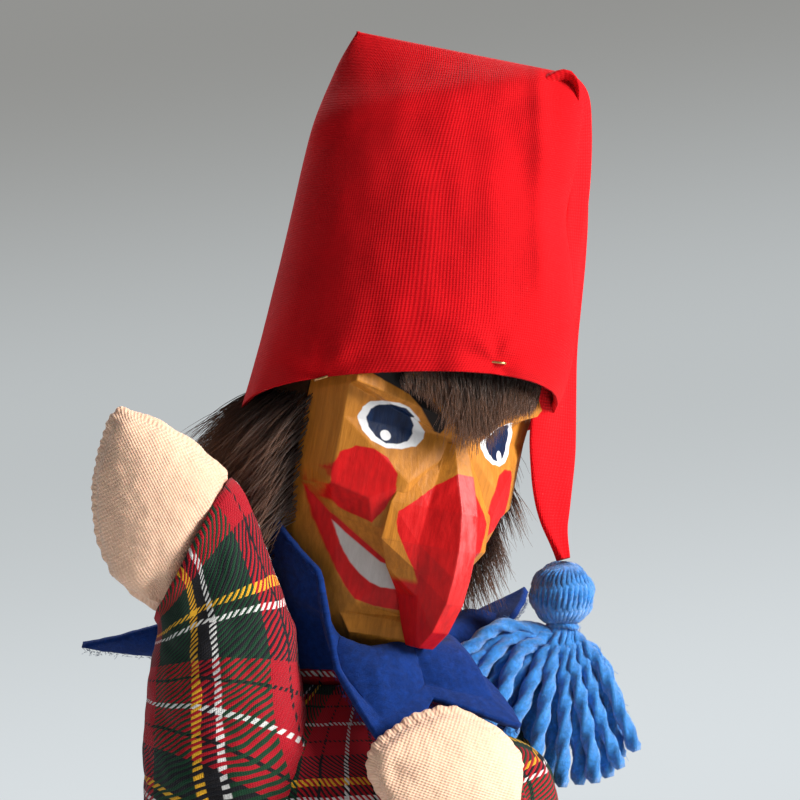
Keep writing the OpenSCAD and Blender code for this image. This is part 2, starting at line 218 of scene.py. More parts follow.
class Finish:
    """Short names for the nodes of one material."""

    def __init__(self, name):
        self.material = bpy.data.materials.new(name)
        self.material.use_nodes = True
        self.tree = self.material.node_tree
        self.tree.nodes.clear()

    def node(self, kind, inputs=(), out=0, **settings):
        made = self.tree.nodes.new(kind)
        for key, value in settings.items():
            setattr(made, key, value)
        for key, value in dict(inputs).items():
            if isinstance(value, bpy.types.NodeSocket):
                self.tree.links.new(value, made.inputs[key])
            else:
                made.inputs[key].default_value = value
        return made.outputs[out]

    def places(self, name):
        return self.node("ShaderNodeAttribute", attribute_name=name, out=1)

    def parts(self, vector):
        made = self.tree.nodes.new("ShaderNodeSeparateXYZ")
        self.tree.links.new(vector, made.inputs[0])
        return made.outputs[0], made.outputs[1], made.outputs[2]

    def sum(self, kind, a, b=0.0, c=0.0, clamp=False):
        return self.node(
            "ShaderNodeMath", {0: a, 1: b, 2: c}, operation=kind, use_clamp=clamp
        )

    def stretched(self, vector, scale):
        return self.node("ShaderNodeMapping", {0: vector, 3: scale})

    def noise(self, vector, scale, detail=2.0, rough=0.5):
        return self.node(
            "ShaderNodeTexNoise",
            {"Vector": vector, "Scale": scale, "Detail": detail, "Roughness": rough},
        )

    def wave(self, vector, scale, direction="X", distortion=0.0, profile="SIN"):
        return self.node(
            "ShaderNodeTexWave",
            {"Vector": vector, "Scale": scale, "Distortion": distortion},
            bands_direction=direction, wave_profile=profile, out=1,
        )

    def between(self, value, low, high, to_low=0.0, to_high=1.0):
        return self.node(
            "ShaderNodeMapRange", {0: value, 1: low, 2: high, 3: to_low, 4: to_high},
            interpolation_type="SMOOTHSTEP",
        )

    def mixed(self, share, a, b, kind="MIX"):
        made = self.tree.nodes.new("ShaderNodeMix")
        made.data_type = "RGBA"
        made.blend_type = kind
        for index, value in ((0, share), (6, a), (7, b)):
            if isinstance(value, bpy.types.NodeSocket):
                self.tree.links.new(value, made.inputs[index])
            else:
                made.inputs[index].default_value = value
        return made.outputs[2]

    def bumped(self, height, strength, distance, normal=None):
        inputs = {"Height": height, "Strength": strength, "Distance": distance}
        if normal is not None:
            inputs["Normal"] = normal
        return self.node("ShaderNodeBump", inputs)

    def within(self, x, z, corners, soft=0.25):
        """1 inside a convex outline of (x, z) corners taken anticlockwise."""
        least = None
        for (x0, z0), (x1, z1) in zip(corners, corners[1:] + corners[:1]):
            length = math.hypot(x1 - x0, z1 - z0)
            a, b = -(z1 - z0) / length, (x1 - x0) / length
            reach = self.sum(
                "MULTIPLY_ADD", x, a, self.sum("MULTIPLY_ADD", z, b, -(a * x0 + b * z0))
            )
            least = reach if least is None else self.sum("MINIMUM", least, reach)
        return self.between(least, -soft, soft)

    def crescent(self, x, z, lower, upper):
        """1 between a lower and an upper line that both curve down, each from its own first
        point; the upper one runs back from the end of the lower one."""
        whole = self.within(x, z, lower + upper[-1:])
        above = self.within(x, z, upper[::-1] + lower[-1:] + [(upper[-1][0], lower[-1][1] + 20)])
        return self.sum("MULTIPLY", whole, self.sum("SUBTRACT", 1.0, above))

    def round_spot(self, x, z, centre, half_w, half_h, soft=0.08, lean=0.0):
        c, s = math.cos(lean), math.sin(lean)
        dx = self.sum("SUBTRACT", x, centre[0])
        dz = self.sum("SUBTRACT", z, centre[1])
        a = self.sum("MULTIPLY_ADD", dx, c / half_w, self.sum("MULTIPLY", dz, s / half_w))
        b = self.sum("MULTIPLY_ADD", dz, c / half_h, self.sum("MULTIPLY", dx, -s / half_h))
        r = self.sum("SQRT", self.sum("ADD", self.sum("MULTIPLY", a, a), self.sum("MULTIPLY", b, b)))
        return self.between(r, 1 + soft, 1 - soft)

    def close(self, colour, rough, normal=None, **fixed):
        """Ends the tree in one shader. fixed holds numbers set on the shader's own sockets."""
        made = self.tree.nodes.new("ShaderNodeBsdfPrincipled")
        for key, value in (("Base Color", colour), ("Roughness", rough), ("Normal", normal)):
            if isinstance(value, bpy.types.NodeSocket):
                self.tree.links.new(value, made.inputs[key])
            elif value is not None:
                made.inputs[key].default_value = value
        for key, value in fixed.items():
            made.inputs[key.replace("_", " ")].default_value = value
        end = self.tree.nodes.new("ShaderNodeOutputMaterial")
        self.tree.links.new(made.outputs[0], end.inputs[0])
        return self.material


def dyed(colour, share=1.0):
    return (colour[0] * share, colour[1] * share, colour[2] * share, 1.0)


def give(piece, *materials):
    piece.data.materials.clear()
    for material in materials:
        piece.data.materials.append(material)


# ---------- the finishes of this puppet ----------


def stained_wood(look):
    """Ochre-stained carved lime wood with painted eyes, brows, cheeks and grin."""
    f = Finish("stained_wood")
    rest = f.places("rest")
    wobble = f.noise(rest, 0.35, 1.0)
    shift = f.sum("MULTIPLY_ADD", wobble, 0.8, -0.4)
    x0, y0, z0 = f.parts(rest)
    side = f.sum("ADD", f.sum("ABSOLUTE", f.sum("ADD", x0, 2.6)), shift)
    z = f.sum("ADD", z0, f.sum("MULTIPLY", shift, 0.7))
    front = f.between(y0, -3.0, -4.0)
    grain = f.noise(f.stretched(rest, (1.0, 1.0, 0.09)), 0.55, 6.0, 0.65)
    fine = f.noise(f.stretched(rest, (1.0, 1.0, 0.05)), 2.6, 3.0, 0.7)
    wood = dyed(look.wood)
    colour = f.mixed(
        f.between(grain, 0.3, 0.72), dyed(wood, 0.78), (wood[0] * 1.12, wood[1] * 1.16, wood[2] * 1.3, 1)
    )
    colour = f.mixed(f.between(fine, 0.52, 0.8, 0.0, 0.35), colour, dyed(wood, 0.5))
    paint_tone = f.between(f.noise(f.stretched(rest, (1, 1, 0.3)), 0.5, 4.0), 0.25, 0.75)
    red = f.mixed(paint_tone, dyed(look.paint_red, 0.8), dyed(look.paint_red, 1.15))

    def laid(mask, paint, base):
        return f.mixed(f.sum("MULTIPLY", mask, front), base, paint)

    cheek = f.within(side, z, [
        (29.7, 46.8), (32.4, 50.6), (33.2, 55.6), (31.8, 60.4), (28.8, 63.1), (24.8, 63.2), (20.8, 61.2),
        (18.2, 57.2), (17.6, 52.0), (18.6, 46.2), (20.5, 41.9), (26.4, 44.6),
    ])
    colour = laid(cheek, red, colour)
    lips = f.crescent(
        side, z,
        [
            (-3, 17.6), (10.3, 17.6), (15.9, 18.8), (18.8, 22.0), (21.8, 26.4), (24.9, 32.7),
            (28.3, 39.8), (32.3, 49.8)
        ],
        [(26.2, 42.6), (8.2, 29.4), (-3, 26.0)],
    )
    colour = laid(lips, red, colour)
    teeth = f.crescent(
        side, z,
        [
            (-3, 24.0), (4.6, 23.6), (10.5, 23.4), (13.4, 24.4), (16.0, 26.2), (19.0, 29.1),
            (22.4, 34.0), (25.4, 40.4)
        ],
        [(22.0, 37.6), (12.3, 30.8), (-3, 26.0)],
    )
    ivory = f.mixed(grain, (0.45, 0.42, 0.39, 1), (0.72, 0.69, 0.65, 1))
    colour = laid(teeth, ivory, colour)
    eye = f.within(side, z, [
        (29.0, 71.4), (28.4, 74.4), (26.6, 76.3), (24.0, 77.1), (20.8, 77.3), (17.6, 76.4), (13.6, 73.9),
        (10.0, 70.3), (10.4, 68.2), (13.0, 65.7), (17.0, 64.2), (21.4, 63.9), (25.2, 65.2), (27.8, 67.8),
    ], 0.2)
    colour = laid(eye, (0.82, 0.82, 0.83, 1), colour)
    iris = f.within(side, z, [
        (26.6, 71.6), (26.0, 74.2), (24.2, 75.9), (21.4, 76.5), (18.2, 76.0), (15.2, 74.3), (13.4, 71.6),
        (13.5, 69.2), (15.2, 66.8), (18.0, 65.4), (21.2, 65.1), (24.0, 66.6), (25.9, 69.0),
    ], 0.2)
    navy = f.mixed(paint_tone, (0.001, 0.006, 0.03, 1), (0.003, 0.02, 0.075, 1))
    colour = laid(iris, navy, colour)
    # painted glint: a pale spot in each eye stands in for the reflection of the light
    light = f.sum(
        "MAXIMUM",
        f.round_spot(x0, z, (-23.8, 67.4), 1.5, 1.5, 0.1),
        f.round_spot(x0, z, (18.8, 66.6), 1.5, 1.8, 0.1),
    )
    colour = laid(light, (0.85, 0.85, 0.85, 1), colour)
    inner = f.within(side, z, [
        (5.6, 72.0), (5.9, 70.6), (7.4, 70.8), (9.0, 72.0), (18.9, 80.3), (20.0, 84.0),
        (14.4, 82.0), (6.4, 74.2),
    ])
    outer = f.within(
        side, z, [(15.0, 80.5), (19.0, 80.3), (42.0, 88.5), (42.0, 93.0), (24.0, 88.8), (16.0, 83.0)]
    )
    brow = f.sum("MAXIMUM", inner, outer)
    colour = laid(brow, (0.006, 0.005, 0.005, 1), colour)
    rough = f.sum("MULTIPLY_ADD", grain, 0.22, 0.36)
    height = f.sum("ADD", grain, f.sum("MULTIPLY", f.noise(rest, 0.16, 2.0), 1.5))
    bump = f.bumped(height, 0.35, 0.0006)
    return f.close(colour, rough, bump, Specular_IOR_Level=0.22)


def painted_nose(look):
    """Red paint on the hooked nose with stained wood left bare at its bridge."""
    f = Finish("painted_nose")
    rest = f.places("rest")
    x, _, z = f.parts(rest)
    middle = f.sum("ADD", x, -NOSE_ACROSS)
    side = f.sum("ABSOLUTE", middle)
    shift = f.sum("MULTIPLY_ADD", f.noise(rest, 0.35, 1.0), 0.9, -0.45)
    grain = f.noise(f.stretched(rest, (1.0, 1.0, 0.09)), 0.55, 6.0, 0.65)
    tone = f.between(f.noise(f.stretched(rest, (1, 1, 0.25)), 0.45, 4.0, 0.6), 0.25, 0.75)
    wood = f.mixed(f.between(grain, 0.3, 0.72), dyed(look.wood, 0.76), dyed(look.wood, 1.15))
    red = f.mixed(tone, dyed(look.paint_red, 0.8), dyed(look.paint_red, 1.15))
    # painted highlight: the red is lighter along the ridge of the nose's lower part, where the light catches
    # it
    wear_and_highlight = f.sum("MULTIPLY", f.between(side, 3.6, 3.0), f.between(z, 16, 46, 0.0, 0.45))
    red = f.mixed(f.sum("MULTIPLY", wear_and_highlight, tone), red, (0.82, 0.2, 0.2, 1))
    line = f.sum("ADD", f.sum("MINIMUM", f.sum("MULTIPLY_ADD", side, -0.93, 62.6), 59.8), shift)
    painted = f.between(f.sum("SUBTRACT", line, z), -0.2, 0.2)
    groove = f.between(
        f.sum("ADD", f.sum("SUBTRACT", side, f.between(z, 24, 44, 8.0, 17.4)), f.sum("MULTIPLY", shift, 0.6)),
        -0.2, 0.2
    )
    open_side = f.sum("MULTIPLY", groove, f.between(z, 26, 28))
    painted = f.sum("SUBTRACT", painted, f.sum("MULTIPLY", painted, open_side))
    colour = f.mixed(painted, wood, red)
    bump = f.bumped(f.sum("ADD", grain, f.noise(rest, 0.2, 3.0)), 0.35, 0.0006)
    return f.close(colour, f.sum("MULTIPLY_ADD", tone, 0.2, 0.32), bump, Specular_IOR_Level=0.25)


def cap_cotton(look):
    """Red plain-weave cotton with light threads that catch the light."""
    f = Finish("cap_cotton")
    cloth = f.places("cloth")
    across = f.wave(cloth, 0.36, "X", 0.25)
    up = f.wave(cloth, 0.36, "Y", 0.25)
    weave = f.sum("MULTIPLY", f.sum("ADD", across, up), 0.5)
    slub = f.noise(f.stretched(cloth, (0.25, 1.6, 1)), 1.0, 3.0, 0.7)
    slub_up = f.noise(f.stretched(cloth, (1.6, 0.25, 1)), 1.0, 3.0, 0.7)
    # broad patches of uneven wear in the cotton, lighter and darker at random
    wear_and_highlight = f.noise(cloth, 0.03, 4.0, 0.6)
    red = dyed(look.cap)
    colour = f.mixed(f.between(wear_and_highlight, 0.3, 0.75), dyed(red, 0.88), dyed(red, 1.1))
    # painted highlight on the weave's crests and painted shade in its hollows
    colour = f.mixed(
        f.sum("MULTIPLY", f.between(weave, 0.62, 1.0), 0.3), colour,
        (red[0] * 1.12, red[1] + 0.02, red[2] + 0.024, 1)
    )
    colour = f.mixed(f.sum("MULTIPLY", f.between(weave, 0.3, 0.0), 0.5), colour, dyed(red, 0.55))
    # pale slub threads, shown only on the weave's crests as a painted highlight
    fleck = f.sum(
        "MULTIPLY", f.between(f.sum("MAXIMUM", slub, slub_up), 0.66, 0.8), f.between(weave, 0.5, 0.9)
    )
    colour = f.mixed(f.sum("MULTIPLY", fleck, 0.28), colour, (0.85, 0.3, 0.3, 1))
    bump = f.bumped(weave, 0.5, 0.0003)
    bump = f.bumped(f.sum("ADD", slub, slub_up), 0.25, 0.0003, bump)
    return f.close(
        colour, f.sum("MULTIPLY_ADD", slub, 0.2, 0.7), bump, Sheen_Weight=0.03, Sheen_Roughness=0.5,
        Specular_IOR_Level=0.06
    )


def royal_felt(look):
    """Royal blue wool felt, matted, with paler fibres."""
    f = Finish("royal_felt")
    rest = f.places("rest")
    matted = f.noise(rest, 0.5, 6.0, 0.75)
    fibres = f.noise(f.stretched(rest, (1.0, 0.5, 2.0)), 2.2, 5.0, 0.8)
    blue = dyed(look.felt)
    colour = f.mixed(f.between(matted, 0.3, 0.75), dyed(blue, 0.65), dyed(blue, 1.25))
    colour = f.mixed(f.between(fibres, 0.6, 0.85, 0.0, 0.35), colour, (0.01, 0.09, 0.36, 1))
    bump = f.bumped(f.sum("ADD", matted, fibres), 0.6, 0.0007)
    return f.close(colour, 0.95, bump, Sheen_Weight=0.06, Sheen_Roughness=0.6, Specular_IOR_Level=0.1)


SETT = (  # one woven repeat from a white line: the thread's colour up to each place, in mm
    (0.8, "white"), (15.5, "red"), (27.6, "dark"), (29.2, "white"), (32.2, "black"), (34.4, "yellow"),
    (46.0, "dark"), (61.2, "red"), (62.0, "white"),
)


def tartan(look, name="tartan_twill"):
    """Red, green and black tartan woven as a twill with white and yellow lines."""
    f = Finish(name)
    cloth = f.places("cloth")
    x0, y0, _ = f.parts(cloth)
    bent = f.sum("MULTIPLY_ADD", f.noise(cloth, 0.08, 1.0), 1.6, -0.8)
    x = f.sum("ADD", x0, bent)
    y = f.sum("ADD", y0, bent)
    tones = {
        "red": dyed(look.tartan_red), "black": (0.006, 0.006, 0.008, 1),
        "white": (0.75, 0.74, 0.72, 1), "yellow": (0.82, 0.42, 0.02, 1),
    }

    def threads(place, dark):
        at = f.sum("WRAP", place, 62.0, 0.0)
        colour = None
        start = 0.0
        for end, tone in SETT:
            paint = dark if tone == "dark" else tones[tone]
            if colour is None:
                colour = f.mixed(0.0, paint, paint)
            else:
                colour = f.mixed(f.between(at, start - 0.12, start + 0.12), colour, paint)
            start = end
        thin = f.sum("ABSOLUTE", f.sum("SUBTRACT", at, 9.2))
        colour = f.mixed(f.between(thin, 0.65, 0.4), colour, tones["black"])
        thin = f.sum("ABSOLUTE", f.sum("SUBTRACT", at, 53.0))
        return f.mixed(f.between(thin, 0.65, 0.4), colour, tones["black"])

    warp = threads(x, dyed(look.tartan_green))
    weft = threads(y, (0.007, 0.008, 0.012, 1))
    slant = f.sum("ADD", x, y)
    twill = f.node("ShaderNodeMath", {0: f.sum("MULTIPLY", slant, math.pi / 0.95)}, operation="SINE")
    over = f.between(twill, -0.25, 0.25)
    colour = f.mixed(over, warp, weft)
    slub = f.noise(f.stretched(cloth, (2.2, 2.2, 1)), 1.0, 3.0, 0.7)
    colour = f.mixed(f.between(slub, 0.3, 0.8, 0.0, 0.28), colour, (0.03, 0.02, 0.02, 1))
    yarn = f.sum("MULTIPLY", f.wave(cloth, 0.7, "X", 0.5), f.wave(cloth, 0.7, "Y", 0.5))
    bump = f.bumped(f.sum("ADD", f.sum("ABSOLUTE", twill), yarn), 0.55, 0.0004)
    return f.close(colour, 0.85, bump, Sheen_Weight=0.1, Sheen_Roughness=0.5, Specular_IOR_Level=0.15)


def skin_jersey(look):
    """Peach knitted cotton with fine ribs."""
    f = Finish("skin_jersey")
    cloth = f.places("cloth")
    ribs = f.wave(cloth, 0.42, "X", 0.6)
    courses = f.wave(cloth, 0.3, "Y", 0.8)
    pile = f.noise(cloth, 0.9, 4.0, 0.7)
    tone = f.noise(cloth, 0.05, 3.0, 0.5)
    skin = dyed(look.jersey)
    colour = f.mixed(f.between(tone, 0.3, 0.7), dyed(skin, 0.93), dyed(skin, 1.05))
    # painted shade in the valleys between the knitted ribs and between the courses
    colour = f.mixed(
        f.sum("MULTIPLY", f.between(ribs, 0.45, 0.05), 0.28), colour,
        (skin[0] * 0.8, skin[1] * 0.62, skin[2] * 0.5, 1)
    )
    colour = f.mixed(
        f.sum("MULTIPLY", f.between(courses, 0.35, 0.0), 0.14), colour,
        (skin[0] * 0.8, skin[1] * 0.66, skin[2] * 0.55, 1)
    )
    bump = f.bumped(f.sum("ADD", f.sum("MULTIPLY", ribs, 1.2), courses), 0.45, 0.0003)
    bump = f.bumped(pile, 0.35, 0.0003, bump)
    return f.close(
        colour, 0.85, bump, Sheen_Weight=0.3, Sheen_Roughness=0.5, Specular_IOR_Level=0.15,
        Subsurface_Weight=0.06, Subsurface_Scale=0.002
    )


def azure_wool(look):
    """Azure wool yarn with paler crests and soft fluff."""
    f = Finish("azure_wool")
    rest = f.places("rest")
    fluff = f.noise(rest, 0.6, 5.0, 0.75)
    hairs = f.noise(f.stretched(rest, (1, 1, 0.5)), 2.6, 4.0, 0.8)
    blue = dyed(look.wool)
    colour = f.mixed(f.between(fluff, 0.3, 0.75), dyed(blue, 0.62), dyed(blue, 1.2))
    colour = f.mixed(f.between(hairs, 0.55, 0.85, 0.0, 0.45), colour, (0.18, 0.5, 0.88, 1))
    bump = f.bumped(f.sum("ADD", fluff, hairs), 0.7, 0.0009)
    return f.close(colour, 0.95, bump, Sheen_Weight=0.5, Sheen_Roughness=0.5, Specular_IOR_Level=0.1)


def wig_fur(look):
    """Dark brown fur, darkened towards the roots as painted shade deep in the fur and paler towards the tips.
    The tip share is kept in the cloth places.
    """
    f = Finish("wig_fur")
    share, tone, _ = f.parts(f.places("cloth"))
    fur = dyed(look.fur)
    # painted shade: the fur is darkest at its roots, deep in the fur, and paler towards the tips
    colour = f.mixed(
        f.between(share, 0.15, 1.0), dyed(fur, 0.45), (fur[0] * 2.6, fur[1] * 2.3, fur[2] * 2.1, 1)
    )
    colour = f.mixed(f.between(tone, 0.0, 1.0, 0.0, 0.5), colour, dyed(fur, 0.35))
    rough = f.sum("MULTIPLY_ADD", tone, 0.15, 0.45)
    return f.close(colour, rough, None, Specular_IOR_Level=0.35, Sheen_Weight=0.15)


def shaded_fur_backing(look):
    """The woven backing of the fur, seen between the hairs, coloured dark as painted shade deep in the fur.
    """
    f = Finish("shaded_fur_backing")
    rest = f.places("rest")
    knots = f.noise(rest, 0.8, 4.0, 0.7)
    # painted shade: the backing is coloured darker than the fur, as the shade deep between the hairs
    colour = f.mixed(knots, dyed(look.fur, 0.2), dyed(look.fur, 0.75))
    return f.close(colour, 0.95, f.bumped(knots, 0.6, 0.0012), Specular_IOR_Level=0.1)


def brass_wire(look):
    """Brass wire of the staples, a little tarnished."""
    f = Finish("brass_wire")
    rest = f.places("rest")
    tarnish = f.noise(rest, 1.2, 4.0, 0.7)
    colour = f.mixed(f.between(tarnish, 0.35, 0.7), (0.42, 0.24, 0.07, 1), (0.85, 0.6, 0.28, 1))
    return f.close(
        colour, f.sum("MULTIPLY_ADD", tarnish, 0.3, 0.2), f.bumped(tarnish, 0.2, 0.0001), Metallic=1.0
    )


def waxed_cord(look):
    """Off-white twisted cotton of the neck drawstring."""
    f = Finish("waxed_cord")
    rest = f.places("rest")
    ply = f.wave(rest, 0.35, "DIAGONAL", 1.0)
    # painted shade: the cord is darker in diagonal bands between its twisted plies
    colour = f.mixed(ply, (0.45, 0.4, 0.32, 1), (0.78, 0.74, 0.66, 1))
    return f.close(colour, 0.75, f.bumped(ply, 0.5, 0.0004))


# ---------- carved head ----------

# corners of half the carved head: across, forward and up in its face frame, in mm
CARVED_CORNERS = {
    "crown0": (0, 16, 112), "crown1": (16, 5, 112), "crown2": (13, -13, 112), "crown3": (0, -20, 112),
    "top0": (0, 33, 98), "top1": (15, 31, 98), "top2": (27, 15, 98), "top3": (30, 0, 98),
    "top4": (27, -24, 98), "top5": (0, -35, 98),
    "brow0": (0, 37.5, 86), "brow1": (13, 37, 87), "brow2": (36.6, 27, 86.5), "brow3": (35.5, 7, 90),
    "brow4": (31, -26, 88), "brow5": (0, -38, 88),
    "under0": (0, 38.5, 76.5), "under1": (7, 38, 74.5), "under2": (37.6, 27.6, 81.5),
    "root0": (0, 36, 69), "root1": (8, 34, 70), "lid": (36, 23, 80.5), "temple": (36.5, 6, 77),
    "cheek_top": (35.5, 22, 71), "cheek_out": (35.5, 21, 51.5), "cheek_low": (26, 28.2, 48.7),
    "cheek_end": (22.5, 28, 40.6), "nose_side": (18, 35, 55), "groove": (18.5, 31, 41),
    "side": (36.5, 5, 57), "grin_end": (34.6, 8.3, 49.2), "lip_out": (28, 16.5, 42),
    "lip_in": (9.5, 28.8, 28.6), "lip_mid": (0, 30, 26.8), "chin_out": (24, 17.6, 25),
    "chin_turn": (18, 21, 18), "chin_in": (4, 28.7, 16.2), "chin_mid": (0, 29.5, 16),
    "jaw_top": (35.5, 0, 44), "jaw": (31, 1, 26), "jaw_low": (26.5, 4, 13),
    "shelf1": (19.5, 16.5, 14), "shelf_in": (4, 31, 14), "shelf_mid": (0, 31.6, 14),
    "plate1": (17.5, 19.5, 9), "plate_in": (4, 31, 9.4), "plate_mid": (0, 31.6, 9.4),
    "base1": (14.5, 16.5, 5.4), "base_in": (3.5, 26.7, 5.8), "base_mid": (0, 27, 5.8),
    "neck1": (22, 2, 7.5), "neck2": (18, -13, 7), "neck3": (0, -20, 7),
    "nape1": (27, -18, 22), "nape2": (0, -28, 22), "back1": (31, -24, 44), "back2": (0, -35, 44),
    "rear1": (31.5, -27, 70), "rear2": (0, -38, 70),
}
CARVED_PLANES = """
crown0 crown1 crown2 crown3 / crown0 top0 top1 / crown0 top1 top2 crown1 / crown1 top2 top3
crown1 top3 top4 crown2 / crown2 top4 top5 crown3 / top0 brow0 brow1 top1 / top1 brow1 brow2 top2
top2 brow2 brow3 top3 / top3 brow3 brow4 top4 / top4 brow4 brow5 top5 / brow0 under0 under1 brow1
brow1 under1 under2 brow2 / under0 root0 root1 under1 / under1 root1 lid under2
brow2 under2 lid temple brow3 / root1 nose_side cheek_low cheek_out cheek_top lid
lid cheek_top cheek_out grin_end side temple / cheek_out cheek_low cheek_end lip_out grin_end
cheek_low nose_side groove cheek_end / cheek_end groove lip_in lip_out
root0 lip_mid lip_in groove nose_side root1 / grin_end lip_out chin_out
lip_out lip_in chin_in chin_turn chin_out / lip_in lip_mid chin_mid chin_in
grin_end chin_out jaw jaw_top / chin_out chin_turn shelf1 jaw_low jaw
chin_turn chin_in shelf_in shelf1 / chin_in chin_mid shelf_mid shelf_in
shelf1 shelf_in plate_in plate1 / shelf_in shelf_mid plate_mid plate_in
plate1 plate_in base_in base1 / plate_in plate_mid base_mid base_in
shelf1 plate1 base1 neck1 jaw_low / base1 base_in base_mid neck3 neck2 neck1
brow3 temple rear1 brow4 / brow4 rear1 rear2 brow5 / temple side jaw_top back1 rear1
side grin_end jaw_top / rear1 back1 back2 rear2 / jaw_top jaw nape1 back1
back1 nape1 nape2 back2 / jaw jaw_low neck1 neck2 nape1 / nape1 neck2 neck3 nape2
"""


def carved_piece(name, corners, planes, edge, material, across=0.0):
    """A carved solid from the corners of its half and the planes between them, mirrored, with its
    sharp edges rubbed down."""
    names = list(corners)
    points = [Vector((x, -y, z)) for x, y, z in corners.values()]
    faces = [tuple(names.index(n) for n in plane) for plane in planes]
    mesh = bmesh.new()
    for side in (1, -1):
        made = [mesh.verts.new((p.x * side, p.y, p.z)) for p in points]
        for face in faces:
            order = face if side > 0 else face[::-1]
            mesh.faces.new([made[i] for i in order])
    bmesh.ops.remove_doubles(mesh, verts=mesh.verts, dist=0.01)
    bmesh.ops.recalc_face_normals(mesh, faces=mesh.faces)
    bmesh.ops.triangulate(mesh, faces=[face for face in mesh.faces if len(face.verts) > 4])
    flat = [
        e for e in mesh.edges
        if len(e.link_faces) == 2 and e.calc_face_angle(0) < math.radians(3)
    ]
    bmesh.ops.dissolve_edges(mesh, edges=flat)
    sharp = [e for e in mesh.edges if e.calc_face_angle(0) > math.radians(7)]
    bmesh.ops.bevel(
        mesh, geom=sharp, offset=edge, offset_type="OFFSET", segments=2, profile=0.6,
        affect="EDGES", clamp_overlap=True,
    )
    bmesh.ops.triangulate(mesh, faces=[face for face in mesh.faces if len(face.verts) > 4])
    data = bpy.data.meshes.new(name)
    mesh.to_mesh(data)
    mesh.free()
    places = [v.co + Vector((across, 0, 0)) for v in data.vertices]
    faces = [tuple(face.vertices) for face in data.polygons]
    bpy.data.meshes.remove(data)
    piece = new_piece(
        name, [FACE_FRAME @ (p * MM) for p in places], faces, "head", smooth=False,
        rest=[p * MM for p in places],
    )
    give(piece, material)
    return piece


def turned_on_neck(name, outline, steps, body, material):
    """A piece turned round the neck's leaned line from (radius, height) pairs in mm."""
    rings = []
    for r, z in outline:
        rings.append([
            HEAD_FRAME @ (Vector((r * math.cos(a), r * math.sin(a), z)) * MM)
            for a in round_angles(steps)
        ])
    points, faces = lofted(rings + rings[:1], capped=False)
    count = steps * len(outline)
    faces = [tuple(i % count for i in face) for face in faces]
    piece = new_piece(name, points[:count], faces, body)
    give(piece, material)
    return piece


NOSE_ROWS = [  # height, then ridge, flank and foot as (across, forward)
    (68.5, (2.5, 36.6), (3.6, 35.2), (6, 32)),
    (59.5, (3.0, 41.2), (6.4, 36.6), (14.5, 33)),
    (49.0, (3.1, 45.9), (9.6, 38.2), (19.6, 33)),
    (38.0, (3.2, 47.6), (11.0, 38.6), (20.4, 32.4)),
    (30.0, (3.2, 47.2), (9.4, 38.2), (15.0, 30.4)),
    (22.5, (3.2, 46.0), (7.0, 37.5), (7.6, 28.6)),
    (13.5, (3.1, 42.0), (4.6, 36.4), (4.8, 29.6)),
    (8.0, (2.9, 36.8), (3.1, 35.0), (3.2, 31.2)),
]
NOSE_ACROSS = -1.9


def carve_nose(look):
    corners, planes = {}, []
    for k, (z, *row) in enumerate(NOSE_ROWS):
        corners[f"m{k}"] = (0, row[0][1], z)
        for name, (x, y) in zip("rfb", row):
            corners[f"{name}{k}"] = (x, y, z)
        corners[f"w{k}"] = (0, 20 if k < 5 else row[2][1], z)
    for k in range(len(NOSE_ROWS) - 1):
        for a, b in zip("mrfb", "rfbw"):
            planes.append((f"{a}{k}", f"{a}{k + 1}", f"{b}{k + 1}", f"{b}{k}"))
    last = len(NOSE_ROWS) - 1
    planes.append(("m0", "r0", "f0", "b0", "w0"))
    planes.append(tuple(f"{n}{last}" for n in "wbfrm"))
    return carved_piece("hooked_nose", corners, planes, 0.35, painted_nose(look), NOSE_ACROSS)


def build_head(look):
    wood = stained_wood(look)
    planes = [p.split() for line in CARVED_PLANES.strip().splitlines() for p in line.split("/")]
    head = carved_piece("carved_head", CARVED_CORNERS, planes, 0.45, wood)
    neck = turned_on_neck(
        "neck_peg",
        [(9.5, -11.5), (11.8, -11.5), (14.2, -8.4), (15.9, -4.4), (16.5, 0), (15.9, 4.4), (14.2, 8.4),
         (12.5, 10.5), (12.5, 16), (9.5, 16)],
        56, "head", wood,
    )
    core = turned_on_neck(
        "finger_hole_end", [(9.6, 36), (2, 36), (2, 37), (10.4, 37), (10.4, 10), (9.6, 10)],
        32, "head", wood,
    )
    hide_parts("head_block")
    nose = carve_nose(look)
    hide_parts("nose")


